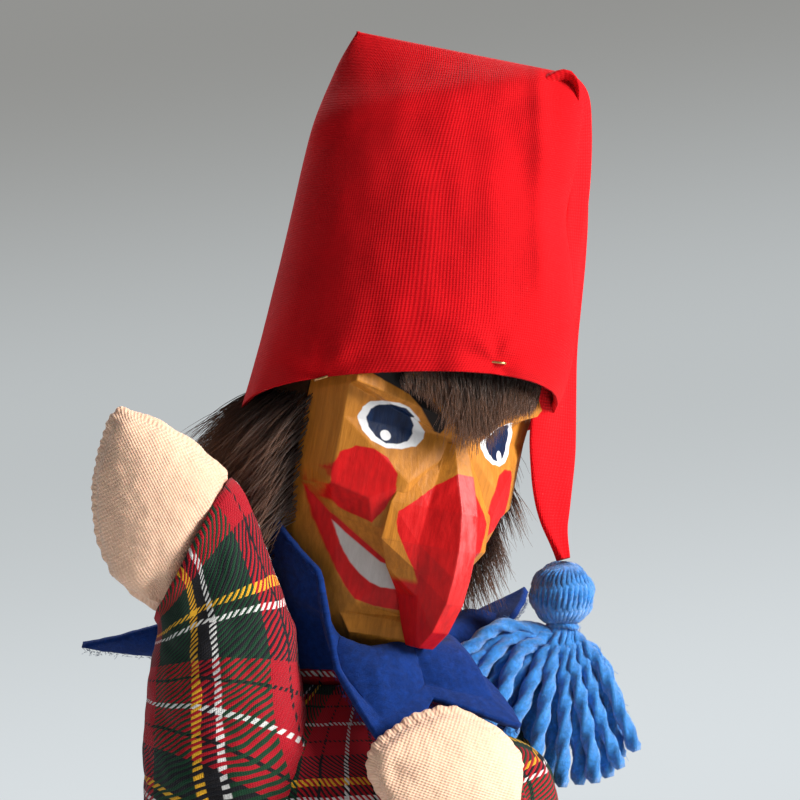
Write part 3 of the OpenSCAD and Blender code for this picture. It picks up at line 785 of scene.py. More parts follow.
def build_neck_tie(look):
    ring = []
    radius = 18.4
    steps = 180
    ply = []
    for a in round_angles(18):
        ply_radius = 1.25 + 0.28 * math.cos(3 * a)
        ply.append((math.cos(a) * ply_radius * MM, math.sin(a) * ply_radius * MM))
    path = [
        HEAD_FRAME @ (Vector((radius * math.cos(a), radius * math.sin(a), 0)) * MM)
        for a in (2 * math.pi * i / steps for i in range(steps + 1))
    ]
    ring = swept(path, ply, twist=0.21)
    points, faces = lofted(ring, capped=True)
    cord = new_piece("neck_drawstring", points, faces, "neck_tie")
    give(cord, waxed_cord(look))
    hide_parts("neck_cord")
    rows = [(r, z) for r, z in (
        (20.35, -3.4), (20.9, -3.5), (21.6, -3.2), (21.85, -1.6), (21.9, 0), (21.85, 1.6), (21.6, 3.2),
        (20.9, 3.5), (20.35, 3.4), (20.5, 1.7), (20.5, 0), (20.5, -1.7))]
    rings = []
    for r, z in rows:
        ring = []
        for i in range(160):
            a = 2 * math.pi * i / 160
            pleat = 0.22 * math.sin(26 * a + math.sin(3 * a)) * (1 if r > 20.6 else 0.3)
            ring.append(NECK + Vector(((r + pleat) * math.cos(a), (r + pleat) * math.sin(a), z)) * MM)
        rings.append(ring)
    count = 160 * len(rows)
    points, faces = lofted(rings + rings[:1], capped=False)
    faces = [tuple(i % count for i in face) for face in faces]
    cloth = [(math.degrees(math.atan2(p.y, p.x)) * 0.38, (p.z - NECK.z) * 1000, 0) for p in points[:count]]
    casing = new_piece("neck_casing_cloth", points[:count], faces, "neckline", cloth=cloth)
    give(casing, tartan(look, "casing_tartan"))
    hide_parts("neck_casing")


# ---------- cap and tail ----------

# the cap's outline: left and right edge as (right, height), half depth, how far its front is
# lifted, and how square its section is
CAP_OUTLINE = [
    (0.00, Vector((-31.0, 303.5, 63.5, 306.5, 46.0, 11.5))),
    (0.06, Vector((-29.0, 311.0, 66.0, 311.5, 46.0, 10.0))),
    (0.18, Vector((-25.5, 325.0, 68.6, 325.0, 44.0, 8.0))),
    (0.38, Vector((-20.0, 347.0, 67.5, 347.0, 38.0, 5.0))),
    (0.56, Vector((-15.5, 367.0, 66.8, 366.0, 31.0, 3.0))),
    (0.72, Vector((-11.5, 384.0, 69.6, 382.0, 24.5, 1.5))),
    (0.84, Vector((-7.0, 397.5, 71.4, 394.0, 18.5, 0.5))),
    (0.92, Vector((-2.6, 408.0, 70.6, 401.0, 11.5, 0.0))),
    (0.97, Vector((1.2, 415.0, 67.6, 405.0, 5.0, 0.0))),
    (1.00, Vector((3.4, 418.6, 64.0, 406.6, 1.2, 0.0))),
]
# right, height and lean of each staple, the two in front first
STAPLES = [(-5.8, 315.2, 0.30), (44.2, 319.0, -0.12), (52.0, 297.0, 0.1), (-16.0, 292.5, -0.2)]


def cap_place(t, a, inset=0.0):
    """A point of the cap at height share t and angle a, in mm to the right, away and up."""
    left_u, left_z, right_u, right_z, depth, lift = along(CAP_OUTLINE, t)
    c, s = math.cos(a), math.sin(a)
    power = 0.86 if t < 0.5 else 0.86 + 0.1 * ease(t, 0.5, 1)
    c = math.copysign(abs(c) ** power, c)
    s = math.copysign(abs(s) ** power, s)
    share = (c + 1) / 2
    u = left_u + (right_u - left_u) * share
    z = left_z + (right_z - left_z) * share - lift * s
    d = max(depth - inset, 0.3) * s
    p = Vector((u, d, z))
    if s < 0:
        crease = 392.5 + (u + 6) * 0.19
        away_from_fold = ease(t, 0.6, 0.75)
        p.y -= 3.2 * math.exp(-(((z - crease) / 6) ** 2)) * away_from_fold * (1 - ease(u, 50, 66))
        p.y -= 1.6 * math.exp(-(((u - 58) / 3.0) ** 2)) * ease(z, 330, 350)
    slack = (1 - ease(t, 0.0, 0.12)) * 0.35 + 0.65
    fold = 1.5 * wander((u, d * 0.6, z * 0.55), 26, 2.0) + 0.7 * wander((u * 1.5, d, z * 0.6), 10, 5.0)
    pull = math.sin((u * 0.35 + z) / 5.2) * 0.9 * math.exp(-(((u - 62) / 9) ** 2)) * ease(z, 325, 345)
    bulge = (fold * slack + pull) * (1 - ease(t, 0.94, 1.0))
    p += Vector((c * bulge * 0.5, s * bulge, 0))
    for su, sz, _ in STAPLES[:2]:
        if s < 0:
            away = math.hypot((u - su) / 1.3, z - sz)
            p.y += 2.4 * math.exp(-((away / 4.2) ** 2))
            ray = math.atan2(z - sz, u - su)
            p.y += 0.55 * math.sin(5 * ray) * math.exp(-(((away - 7) / 5) ** 2))
    return p


def cloth_shell(name, rings, cloth, thickness, body=None, closed=True):
    """A cloth skin of real thickness from rings of points in metres."""
    points, faces = lofted(rings, capped=False, closed=closed)
    piece = new_piece(name, points, faces, cloth=cloth)
    add_modifier(piece, "SOLIDIFY", thickness=thickness, offset=-1.0, use_even_offset=False)
    if body:
        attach(piece, body)
    return piece


def build_cap(look):
    cotton = cap_cotton(look)
    around, up = 240, 150
    rings, cloth = [], []
    for j in range(up + 1):
        t = j / up
        ring = []
        for i in range(around):
            a = 2 * math.pi * i / around
            p = cap_place(t, a)
            ring.append(seen(*p))
            cloth.append((i / around * 290, t * 125, 0))
        rings.append(ring)
    top = []
    for i in range(around):
        a = 2 * math.pi * i / around
        p = cap_place(1.0, a)
        top.append(seen(p.x, 0.0, max(p.z, 0) + 0.5))
        cloth.append((i / around * 290, 126.5, 0))
    rings.append(top)
    hem = []
    for i in range(around):
        p = cap_place(0.02, 2 * math.pi * i / around)
        hem.append(seen(16.5 + (p.x - 16.5) * 0.955, p.y * 0.955, p.z))
    rings.insert(0, hem)
    cloth = [(i / around * 290, -6, 0) for i in range(around)] + cloth
    cap = cloth_shell("folded_cap", rings, cloth, 1.1 * MM, "head")
    give(cap, cotton)
    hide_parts("hat_crown", "hat_stuffing")

    tail_rings, cloth = [], []
    path = [
        (0.00, Vector((57.0, 4.0, 401.0))), (0.04, Vector((64.5, 6.0, 405.2))),
        (0.09, Vector((70.0, 8.0, 401.5))), (0.15, Vector((71.2, 10.0, 392.0))),
        (0.30, Vector((70.6, 12.0, 368.0))), (0.50, Vector((67.6, 13.0, 338.0))),
        (0.68, Vector((63.6, 13.0, 311.0))), (0.82, Vector((62.4, 12.0, 289.0))),
        (0.93, Vector((62.6, 10.4, 272.0))), (1.00, Vector((65.6, 8.8, 260.2))),
    ]
    widths = [
        (0, 13.0), (0.1, 13.5), (0.3, 14.5), (0.6, 17.0), (0.78, 16.0), (0.9, 9.0), (0.97, 4.0),
        (1.0, 2.2)
    ]
    turns = [(0, 0.1), (0.15, 0.2), (0.3, 0.26), (0.6, 0.34), (0.8, 0.5), (0.92, 0.6), (1, 0.6)]
    count, rows = 72, 130
    for j in range(rows + 1):
        t = j / rows
        centre = along(path, t)
        ahead = (along(path, min(t + 0.01, 1)) - along(path, max(t - 0.01, 0))).normalized()
        turn = along(turns, t)
        wide = Vector((math.sin(turn), math.cos(turn), 0))
        wide = (wide - ahead * wide.dot(ahead)).normalized()
        thin = ahead.cross(wide).normalized()
        half, thick = along(widths, t), along([(0, 2.4), (0.1, 2.2), (0.5, 1.7), (0.9, 1.9), (1, 1.6)], t)
        ring = []
        for i in range(count):
            a = 2 * math.pi * i / count
            c, s = math.cos(a), math.sin(a)
            ripple = 0.7 * wander((centre.x, c * half, centre.z * 0.5), 12, 8.0)
            ripple += 0.5 * math.sin(c * 3.2 + t * 5)
            p = centre + wide * (c * half) + thin * (math.copysign(abs(s) ** 0.8, s) * thick + ripple)
            ring.append(seen(*p))
            cloth.append((a / math.pi * (half + 4), -t * 150, 0))
        tail_rings.append(ring)
    tail = cloth_shell("cap_tail_cloth", tail_rings, cloth, 0.6 * MM)
    give(tail, cotton)
    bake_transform(tail)
    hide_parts("hat_tail")


WIRE_RADIUS = 0.36


def build_staples(look):
    brass = brass_wire(look)
    skins = []
    for k, (u, z, lean) in enumerate(STAPLES):
        front = k < 2
        best = min(
            (
                cap_place(t / 60, math.pi * (i / 60 + (1 if front else 0)))
                for t in range(30) for i in range(61)
            ),
            key=lambda p: (p.x - u) ** 2 + (p.z - z) ** 2,
        )
        toward = -1 if front else 1
        section = [
            (math.cos(a) * WIRE_RADIUS * MM, math.sin(a) * WIRE_RADIUS * MM) for a in round_angles(10)
        ]
        line = [
            (-2.5, 1.2), (-2.3, 0.0), (-1.9, -0.45), (-0.8, -0.62), (0.8, -0.62), (1.9, -0.45),
            (2.3, 0.0), (2.5, 1.2)
        ]
        path = []
        for s, depth in line:
            along_u, along_z = s * math.cos(lean), s * math.sin(lean)
            path.append(seen(best.x + along_u, best.y + toward * -depth, best.z + along_z))
        skins.append(lofted(swept(path, section)))
    points, faces = join_skins(skins)
    wire = new_piece("brim_staples", points, faces, "head")
    give(wire, brass)
    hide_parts("hat_staples")


# ---------- wool tassel ----------


# sections of the loose fibres, in metres
YARN_HAIR = [(0.07 * MM, 0), (-0.04 * MM, 0.06 * MM), (-0.04 * MM, -0.06 * MM)]
FELT_HAIR = [(0.055 * MM, 0), (-0.03 * MM, 0.05 * MM), (-0.03 * MM, -0.05 * MM)]


def yarn_section(radius, count=12):
    """The section of three plies laid together."""
    return [
        (
            math.cos(a) * radius * (1 + 0.24 * math.cos(3 * a)) * MM,
            math.sin(a) * radius * (1 + 0.24 * math.cos(3 * a)) * MM
        )
        for a in round_angles(count)
    ]


def build_tassel(look):
    rng = random.Random(41)
    wool = azure_wool(look)
    low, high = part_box("tassel_head")
    ball = (low + high) / 2
    r = (high.z - low.z) / 2
    tie_z = ball.z - r - 0.4 * MM
    skins = []
    turns = 34
    for k in range(turns):
        a = 2 * math.pi * (k + rng.uniform(-0.25, 0.25)) / turns
        out = Vector((math.cos(a), math.sin(a), 0))
        path = []
        for j in range(15):
            b = 0.12 + j / 14 * 2.62
            wide = r * math.sin(b) * (0.93 + 0.05 * rng.random())
            path.append(ball + out * wide + Vector((0, 0, r * 0.97 * math.cos(b))))
        skins.append(lofted(swept(path, yarn_section(1.25, 9), twist=0.5)))
    core = []
    for j in range(12):
        b = 0.05 + j / 11 * 3.0
        core.append([
            ball + Vector((math.cos(a) * math.sin(b), math.sin(a) * math.sin(b), math.cos(b))) * r * 0.92
            for a in round_angles(24)
        ])
    skins.append(lofted(core))
    skins.append(lofted(swept(
        [Vector((ball.x, ball.y, tie_z))
         + Vector((math.cos(a) * 4.0, math.sin(a) * 4.0, 0.6 * math.sin(2 * a))) * MM
         for a in (2 * math.pi * i / 48 for i in range(97))],
        yarn_section(1.0, 9), twist=0.5)))
    points, faces = join_skins(skins)
    head = new_piece("yarn_ball", points, faces, "tassel")
    give(head, wool)
    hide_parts("tassel_head", "tassel_tie")

    # where the loose ends come to rest: right, away and down from the tie, in mm
    ends = [
        (-39, -15, -10), (-37, -10, -17), (-34, -13, -24), (-30, -9, -30), (-26, -16, -34), (-22, -8, -38),
        (-18, -14, -41), (-13, -8, -45), (-9, -14, -48), (-5, -8, -50), (0, -13, -53), (4, -9, -52),
        (8, -12, -51), (12, -7, -50), (16, -10, -47), (19, -5, -44), (21, -7, -41), (22, -2, -38),
        (-33, 4, -20), (-26, 6, -30), (-18, 8, -38), (-9, 9, -44), (0, 10, -48), (8, 9, -47), (15, 7, -43),
        (20, 4, -38), (-28, -3, -27), (-15, -2, -42), (-3, -3, -50), (8, -3, -50), (17, -2, -44),
    ]
    skins = []
    tie = Vector((ball.x, ball.y, tie_z))
    for k, (u, d, z) in enumerate(ends):
        end = RIGHT * u + AWAY * d + Vector((0, 0, z))
        flat = Vector((end.x, end.y, 0))
        start = flat.normalized() * 3.0 * (0.4 + 0.6 * rng.random())
        spread = flat.length / 45
        middle = flat * (0.42 + 0.1 * rng.random()) + Vector((0, 0, z * (0.42 - 0.16 * spread) + 3 * spread))
        low_third = flat * 0.8 + Vector((0, 0, z * 0.76))
        stops = [
            (0, start), (0.1, start * 1.25 + Vector((0, 0, -2.5))), (0.45, middle), (0.8, low_third),
            (1, end)
        ]
        sway = rng.uniform(0, 6)
        path = []
        rows = 30
        for j in range(rows + 1):
            t = j / rows
            wiggle = Vector(
                (math.sin(sway + t * 5), math.cos(sway * 1.7 + t * 4), 0.4 * math.sin(sway + t * 7))
            ) * 1.3 * t
            place = (along(stops, t) + wiggle) * MM
            path.append(tie + Vector((place.x, place.y, place.z * 0.9)))
        grow = [
            0.62 + 0.38 * ease(j / rows, 0, 0.25) + 0.12 * ease(j / rows, 0.85, 1)
            - 0.5 * ease(j / rows, 0.97, 1.0)
            for j in range(rows + 1)
        ]
        skins.append(lofted(swept(path, yarn_section(1.9 + 0.35 * rng.random()), twist=0.42, scale=grow)))
        for _ in range(16):
            j = rng.randrange(4, rows - 1)
            away = Vector((rng.gauss(0, 1), rng.gauss(0, 1), rng.gauss(0, 1))).normalized()
            along_yarn = (path[j + 1] - path[j - 1]).normalized()
            root = path[j] + away * 1.6 * MM
            curl = (away * 1.2 + along_yarn * rng.uniform(-2, 2.5)) * MM
            hair = [root, root + curl, root + curl * 1.7 + Vector((0, 0, -0.4 * MM))]
            skins.append(lofted(swept(hair, YARN_HAIR)))
    points, faces = join_skins(skins)
    skirt = new_piece("yarn_skirt", points, faces, "tassel")
    give(skirt, wool)
    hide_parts("tassel_skirt")


# ---------- felt collar ----------

# heading from the front towards the puppet's left, reach and height above the neck, for the tips
# and the notches between them
COLLAR_EDGE = [
    (-120, 79, 7), (-97, 28, 22), (-70, 34, 49), (-43, 35, 31), (-34, 38, 2), (-15, 50, -20), (10, 40, -8),
    (33, 57, -15), (66, 35, 0), (95, 69, 22), (116, 36, 1), (137, 72, 2), (162, 34, -3), (188, 74, -3),
    (214, 34, -2), (240, 79, 7),
]


COLLAR_NECK = 22.6


def collar_place(heading, t):
    """A point of the collar at a heading, t of the way from its neck hole to its edge."""
    for (a, ra, za), (b, rb, zb) in zip(COLLAR_EDGE, COLLAR_EDGE[1:]):
        if a <= heading <= b:
            w = (heading - a) / (b - a)
            reach = ra + (rb - ra) * w
            height = za + (zb - za) * w
            break
    r = COLLAR_NECK + (reach - COLLAR_NECK) * t
    wave = 1.0 * math.sin(math.radians(heading) * 7) * t + 0.8 * wander((heading * 0.6, r, 0), 14, 4.0) * t
    puff = 8.5 * math.sin(math.pi * min(t * 1.35, 1.0)) * ease(abs(heading - 60), 200, 90)
    z = 1.4 + (height - 1.4) * t**1.8 + wave + puff
    h = math.radians(heading)
    return NECK + Vector((r * math.sin(h), -r * math.cos(h), z)) * MM


def build_collar(look):
    felt = royal_felt(look)
    around, out = 480, 34
    rings, cloth = [], []
    for j in range(out + 1):
        ring = []
        for i in range(around):
            heading = -120 + 360 * i / around
            t = j / out
            ring.append(collar_place(heading, t))
            cloth.append((heading, t * 60, 0))
        rings.append(ring)
    collar = cloth_shell("felt_collar", rings, cloth, 1.9 * MM)
    rng = random.Random(7)
    bm = bmesh.new()
    bm.from_mesh(collar.data)
    for v in bm.verts:
        p = v.co * 1000
        v.co += v.normal * (0.25 * wander(p, 3.0, 1.0)) * MM
    bm.to_mesh(collar.data)
    bm.free()
    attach(collar, "costume")
    give(collar, felt)
    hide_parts("collar")
    skins = []
    for _ in range(2600):
        heading = rng.uniform(-120, 240)
        root = collar_place(heading, rng.uniform(0.985, 1.0)) - Vector((0, 0, rng.uniform(0.2, 1.7) * MM))
        out_way = (collar_place(heading, 1.0) - collar_place(heading, 0.9)).normalized()
        curl = out_way * rng.uniform(0.4, 1.1) + Vector(
            (rng.gauss(0, 0.4), rng.gauss(0, 0.4), rng.gauss(0, 0.4))
        )
        hair = [root, root + curl * 0.6 * MM, root + curl * MM + Vector((0, 0, rng.uniform(-0.3, 0.3) * MM))]
        skins.append(lofted(swept(hair, FELT_HAIR)))
    points, faces = join_skins(skins)
    fuzz = new_piece("felt_edge_fibres", points, faces, "costume")
    give(fuzz, felt)


# ---------- tartan dress and sleeves ----------

DRESS_SECTIONS = [
    (0, Vector((80, 58))), (40, Vector((75.6, 54.6))), (116, Vector((68, 46.6))), (160, Vector((61.8, 40.6))),
    (185, Vector((60, 39))), (200, Vector((54.6, 35.5))), (212.2, Vector((43.2, 29.6))),
    (225, Vector((23.6, 23.6))),
]


def dress_place(a, z):
    """A point of the dress at angle a and height z, in mm."""
    half = along(DRESS_SECTIONS, z)
    loose = 1 - ease(z, 60, 200)
    pleats = ease(z, 196, 222)
    fold = 3.4 * loose * math.sin(7 * a + 1.4 * math.sin(2 * a))
    fold += 1.0 * math.sin(19 * a + 2 * math.sin(3 * a)) * pleats
    fold += 1.6 * wander((40 * math.cos(a), 40 * math.sin(a), z * 0.4), 22, 6.0)
    fold *= 0.3 + 0.7 * ease(abs(z - 225), 0, 12)
    return Vector(((half.x + fold) * math.cos(a), (half.y + fold) * math.sin(a), z))


def build_dress(look):
    weave = tartan(look)
    around, up = 300, 150
    heights = [225 * j / up for j in range(up + 1)]
    rings, cloth = [], []
    for z in [9, 1.5] + heights:
        inner = z in (9, 1.5) and len(rings) < 2
        ring = []
        for i in range(around):
            a = 2 * math.pi * i / around - math.pi / 2
            p = dress_place(a, z)
            if inner:
                p.x *= 0.985
                p.y *= 0.985
            ring.append(p * MM)
            slope = 0 if z < 200 else (z - 200) * 0.9
            cloth.append((i / around * 372 + 20.0, z + slope - 227, 0))
        rings.append(ring)
    dress = cloth_shell("tartan_dress", rings, cloth, 1.3 * MM, "costume")
    give(dress, weave)
    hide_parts("dress_front", "dress_back")
    build_sleeves(weave)


def edge_rings(stops, rows, count, ripple=0.0, seed=0.0, square=1.0):
    """Rings whose two edges follow (right, height) lines, with a middle distance and a half
    thickness: stops of (share, (u0, z0, u1, z1, away, thickness))."""
    rings = []
    for j in range(rows + 1):
        u0, z0, u1, z1, away, thick = along(stops, j / rows)
        ring = []
        for i in range(count):
            a = 2 * math.pi * i / count
            c, s = -math.cos(a), math.sin(a)
            s = math.copysign(abs(s) ** square, s)
            p = Vector(
                ((u0 + u1) / 2 + (u1 - u0) / 2 * c, away + thick * s, (z0 + z1) / 2 + (z1 - z0) / 2 * c)
            )
            if ripple:
                w = ripple * wander(p, 13, seed) + 0.5 * ripple * wander(p, 5, seed + 3)
                p += Vector((c * 0.4 * w, s * w, 0))
            ring.append(seen(*p))
        rings.append(ring)
    return rings


RAISED_SLEEVE = [
    (0.0, Vector((-57.5, 184, -6, 196, -19, 30))), (0.25, Vector((-57.0, 206, -13, 222, -27, 26))),
    (0.5, Vector((-55.4, 224, -15.5, 243, -34, 21.5))), (0.75, Vector((-53.2, 238, -21.8, 262, -40, 18))),
    (0.93, Vector((-52.0, 244, -28.5, 279, -43, 16.2))), (1.0, Vector((-52.8, 246, -32.3, 285, -44, 15.6))),
]


def turned_in(rings):
    """The rings of a cuff's edge that is turned back inside its sleeve."""
    inner = []
    for ring in (rings[-1], rings[-4]):
        middle = sum(ring, Vector()) / len(ring)
        inner.append([middle + (p - middle) * 0.93 for p in ring])
    return inner


def build_sleeves(weave):
    count = 120
    rings = edge_rings(RAISED_SLEEVE, 90, count, 2.2, 9.0)
    inner = turned_in(rings)
    cloth = []
    for j in range(len(rings) + 2):
        for i in range(count):
            a = 2 * math.pi * i / count
            down = 52 - (90 - min(j, 90)) * 0.86 * (1.0 + 0.25 * math.cos(a))
            cloth.append((a / math.pi * 55 + 8, down, 0))
    raised = cloth_shell("raised_sleeve", rings + inner, cloth, 1.2 * MM)
    give(raised, weave)
    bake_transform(raised)
    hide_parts("sleeve_right")

    shoulder, wrist = JOINTS["left_arm_swing"], JOINTS["left_wrist"]
    stops = [
        (0.0, (shoulder + Vector((-0.014, 0.016, 0.001)), 2)),
        (0.05, (shoulder + Vector((-0.012, 0.012, 0.0)), 10)),
        (0.14, (shoulder + Vector((-0.009, 0.005, -0.001)), 15)),
        (0.3, (shoulder + Vector((-0.004, -0.010, -0.004)), 18)),
        (0.6, (shoulder + Vector((-0.0052, -0.0282, -0.008)), 15.8)),
        (0.85, (wrist + Vector((-0.0018, 0.0135, 0.0005)), 15)),
        (1.0, (wrist + Vector((-0.0115, 0.0088, 0.0)), 13.5)),
    ]
    middles = [(t, v[0]) for t, v in stops]
    sizes = [(t, v[1]) for t, v in stops]
    rows = 80
    path = [along(middles, j / rows) for j in range(rows + 1)]
    section = [(math.cos(a) * MM, math.sin(a) * MM) for a in round_angles(count)]
    rings = swept(path, section, scale=[along(sizes, j / rows) for j in range(rows + 1)])
    for j, ring in enumerate(rings):
        for i, p in enumerate(ring):
            out = (p - path[j]).normalized()
            crease = 0.8 * math.sin(j * 0.42 + 2 * math.sin(i / 12))
            p += out * (1.5 * wander(p * 1000, 14, 12.0) + crease) * MM
    inner = turned_in(rings)
    cloth = [
        (i / count * 120 + 30, min(j, rows) * 0.85 - 10, 0)
        for j in range(len(rings) + 2) for i in range(count)
    ]
    crossed = cloth_shell("crossed_sleeve", rings + inner, cloth, 1.2 * MM)
    give(crossed, weave)
    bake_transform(crossed)
    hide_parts("sleeve_left")


# ---------- mitts ----------

RAISED_MITT = [
    (0.00, Vector((-51, 247, -34, 280, -43, 13))), (0.12, Vector((-58, 251.5, -32.5, 285, -45, 14.8))),
    (0.27, Vector((-65, 259, -33.6, 289, -48, 15.2))), (0.42, Vector((-69.2, 268, -38, 293, -51, 14.4))),
    (0.57, Vector((-70.6, 278, -43, 297, -54, 12.6))), (0.72, Vector((-69.8, 288.6, -48.5, 300.5, -57, 10))),
    (0.85, Vector((-67.6, 297, -54.5, 303.6, -59.5, 7))), (0.94, Vector((-66, 302, -59.5, 305.4, -61, 4))),
    (1.00, Vector((-64.6, 305.2, -62.6, 306.2, -62, 1.2))),
]
CROSSED_MITT = [
    (0.00, Vector((48, 176, 53, 203, -29, 12.5))), (0.14, Vector((41, 174.5, 48.5, 210, -33, 13.5))),
    (0.30, Vector((33, 175, 40.5, 216.5, -39, 13.5))), (0.46, Vector((26, 178.5, 31, 220.5, -44, 12.5))),
    (0.60, Vector((20, 183, 22, 219, -48, 11.5))), (0.73, Vector((15, 189, 15, 215.5, -52, 9.5))),
    (0.85, Vector((11, 196, 10.5, 212.6, -55, 7))), (0.94, Vector((8, 202.5, 7.5, 210, -57, 4))),
    (1.00, Vector((6.8, 206, 6.6, 208.3, -58, 1.2))),
]


def puffed(piece, most):
    """Fills a soft piece by a short cloth simulation under pressure; no point moves over most."""
    add_modifier(piece, "REMESH", mode="VOXEL", voxel_size=2.2 * MM, adaptivity=0)
    before = [v.co.copy() for v in piece.data.vertices]
    cloth = piece.modifiers.new("Cloth", "CLOTH")
    cloth.settings.use_pressure = True
    cloth.settings.uniform_pressure_force = 4.0
    cloth.settings.quality = 4
    cloth.settings.effector_weights.gravity = 0
    scene = bpy.context.scene
    for step in range(1, 21):
        scene.frame_set(step)
    made = bpy.data.meshes.new_from_object(piece.evaluated_get(bpy.context.evaluated_depsgraph_get()))
    after = [v.co.copy() for v in made.vertices]
    bpy.data.meshes.remove(made)
    piece.modifiers.clear()
    scene.frame_set(1)
    if len(after) == len(before):
        for v, old, new in zip(piece.data.vertices, before, after):
            move = new - old
            v.co = old + move * min(1.0, most / max(move.length, 1e-9))


def mitt(look, name, body, stops, bumps, hidden):
    count = 72
    rings = edge_rings(stops, 60, count, 0.9, 21.0 if body == "right_hand" else 33.0, 0.9)
    points, faces = lofted(rings)
    piece = new_piece(name, points, faces)
    puffed(piece, 1.6 * MM)
    add_modifier(piece, "SMOOTH", factor=0.5, iterations=6)
    add_modifier(piece, "SUBSURF", levels=2, render_levels=2)
    edges = []
    for j in range(0, 61):
        u0, z0, u1, z1, away, _ = along(stops, j / 60)
        edges.append((u0, z0, away))
        edges.append((u1, z1, away))
    seam = np.array(edges)
    base, tip = along(stops, 0.0), along(stops, 1.0)
    grow = Vector(
        ((tip[0] + tip[2] - base[0] - base[2]) / 2, (tip[1] + tip[3] - base[1] - base[3]) / 2)
    ).normalized()
    bm = bmesh.new()
    bm.from_mesh(piece.data)
    bm.normal_update()
    cloth = []
    for v in bm.verts:
        p = v.co * 1000
        q = np.array((p.dot(RIGHT), p.z, p.dot(AWAY)))
        near = float(np.sqrt(((seam - q) ** 2).sum(1)).min())
        push = 0.75 * math.exp(-((near / 1.7) ** 2)) - 0.55 * math.exp(-(((near - 3.6) / 1.8) ** 2))
        push += 0.22 * math.sin(q[1] * 2.1 + q[0] * 1.3) * math.exp(-((near / 4.0) ** 2))
        push += 0.5 * wander(p, 7, 2.0) + 0.2 * wander(p, 2.6, 4.0)
        for u, z, size, height in bumps:
            if q[2] < along(stops, 0.4)[4]:
                push += height * math.exp(-(((q[0] - u) ** 2 + (q[1] - z) ** 2) / size**2))
        v.co += v.normal * push * MM
        cloth.append((q[0] * grow.y - q[1] * grow.x, q[0] * grow.x + q[1] * grow.y, 0))
    bm.to_mesh(piece.data)
    bm.free()
    for layer in ("rest", "cloth"):
        if layer in piece.data.attributes:
            piece.data.attributes.remove(piece.data.attributes[layer])
    keep_places(piece, "rest", [v.co * 1000 for v in piece.data.vertices])
    keep_places(piece, "cloth", cloth)
    piece.data.shade_smooth()
    give(piece, skin_jersey(look))
    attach(piece, body)
    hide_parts(*hidden)
    return piece


def build_mitts(look):
    mitt(look, "mitt_raised", "right_hand", RAISED_MITT,
         [(-61, 259, 7, 1.6), (-52.5, 254, 3.6, -2.2), (-46, 250, 5, 1.0)],
         ("hand_right_back", "hand_right_palm", "hand_right_stuffing"))
    mitt(look, "mitt_crossed", "left_hand", CROSSED_MITT,
         [(16, 203, 3.5, -1.4), (24, 206, 8, 0.8)],
         ("hand_left_back", "hand_left_palm", "hand_left_stuffing"))


# ---------- fur wig ----------


def fur_root(turn, z, stand=0.0):
    """A point of the head's side at a turn from the front towards its left, in the face frame."""
    half_w, half_d = 36.4 + stand, 37.4 + stand
    drop = ease(z, 52, 24)
    half_w -= 9 * drop
    half_d -= 9 * drop
    return Vector((half_w * math.sin(turn), 1.5 + 3 * drop - half_d * math.cos(turn), z))


def strand(path, thick):
    section = [(0.0, thick), (0.87 * thick, -0.5 * thick), (-0.87 * thick, -0.5 * thick)]
    last = len(path) - 1
    return lofted(swept(path, section, scale=[1 - 0.82 * (k / last) ** 1.5 for k in range(last + 1)]))


FRINGE_DROP = [
    (-27, 3.0), (-21, 6.0), (-16, 9.0), (-12, 15.0), (-8, 19.0), (-2, 19.0), (4, 15.0), (10, 10.0),
    (20, 7.0), (31, 4.0),
]


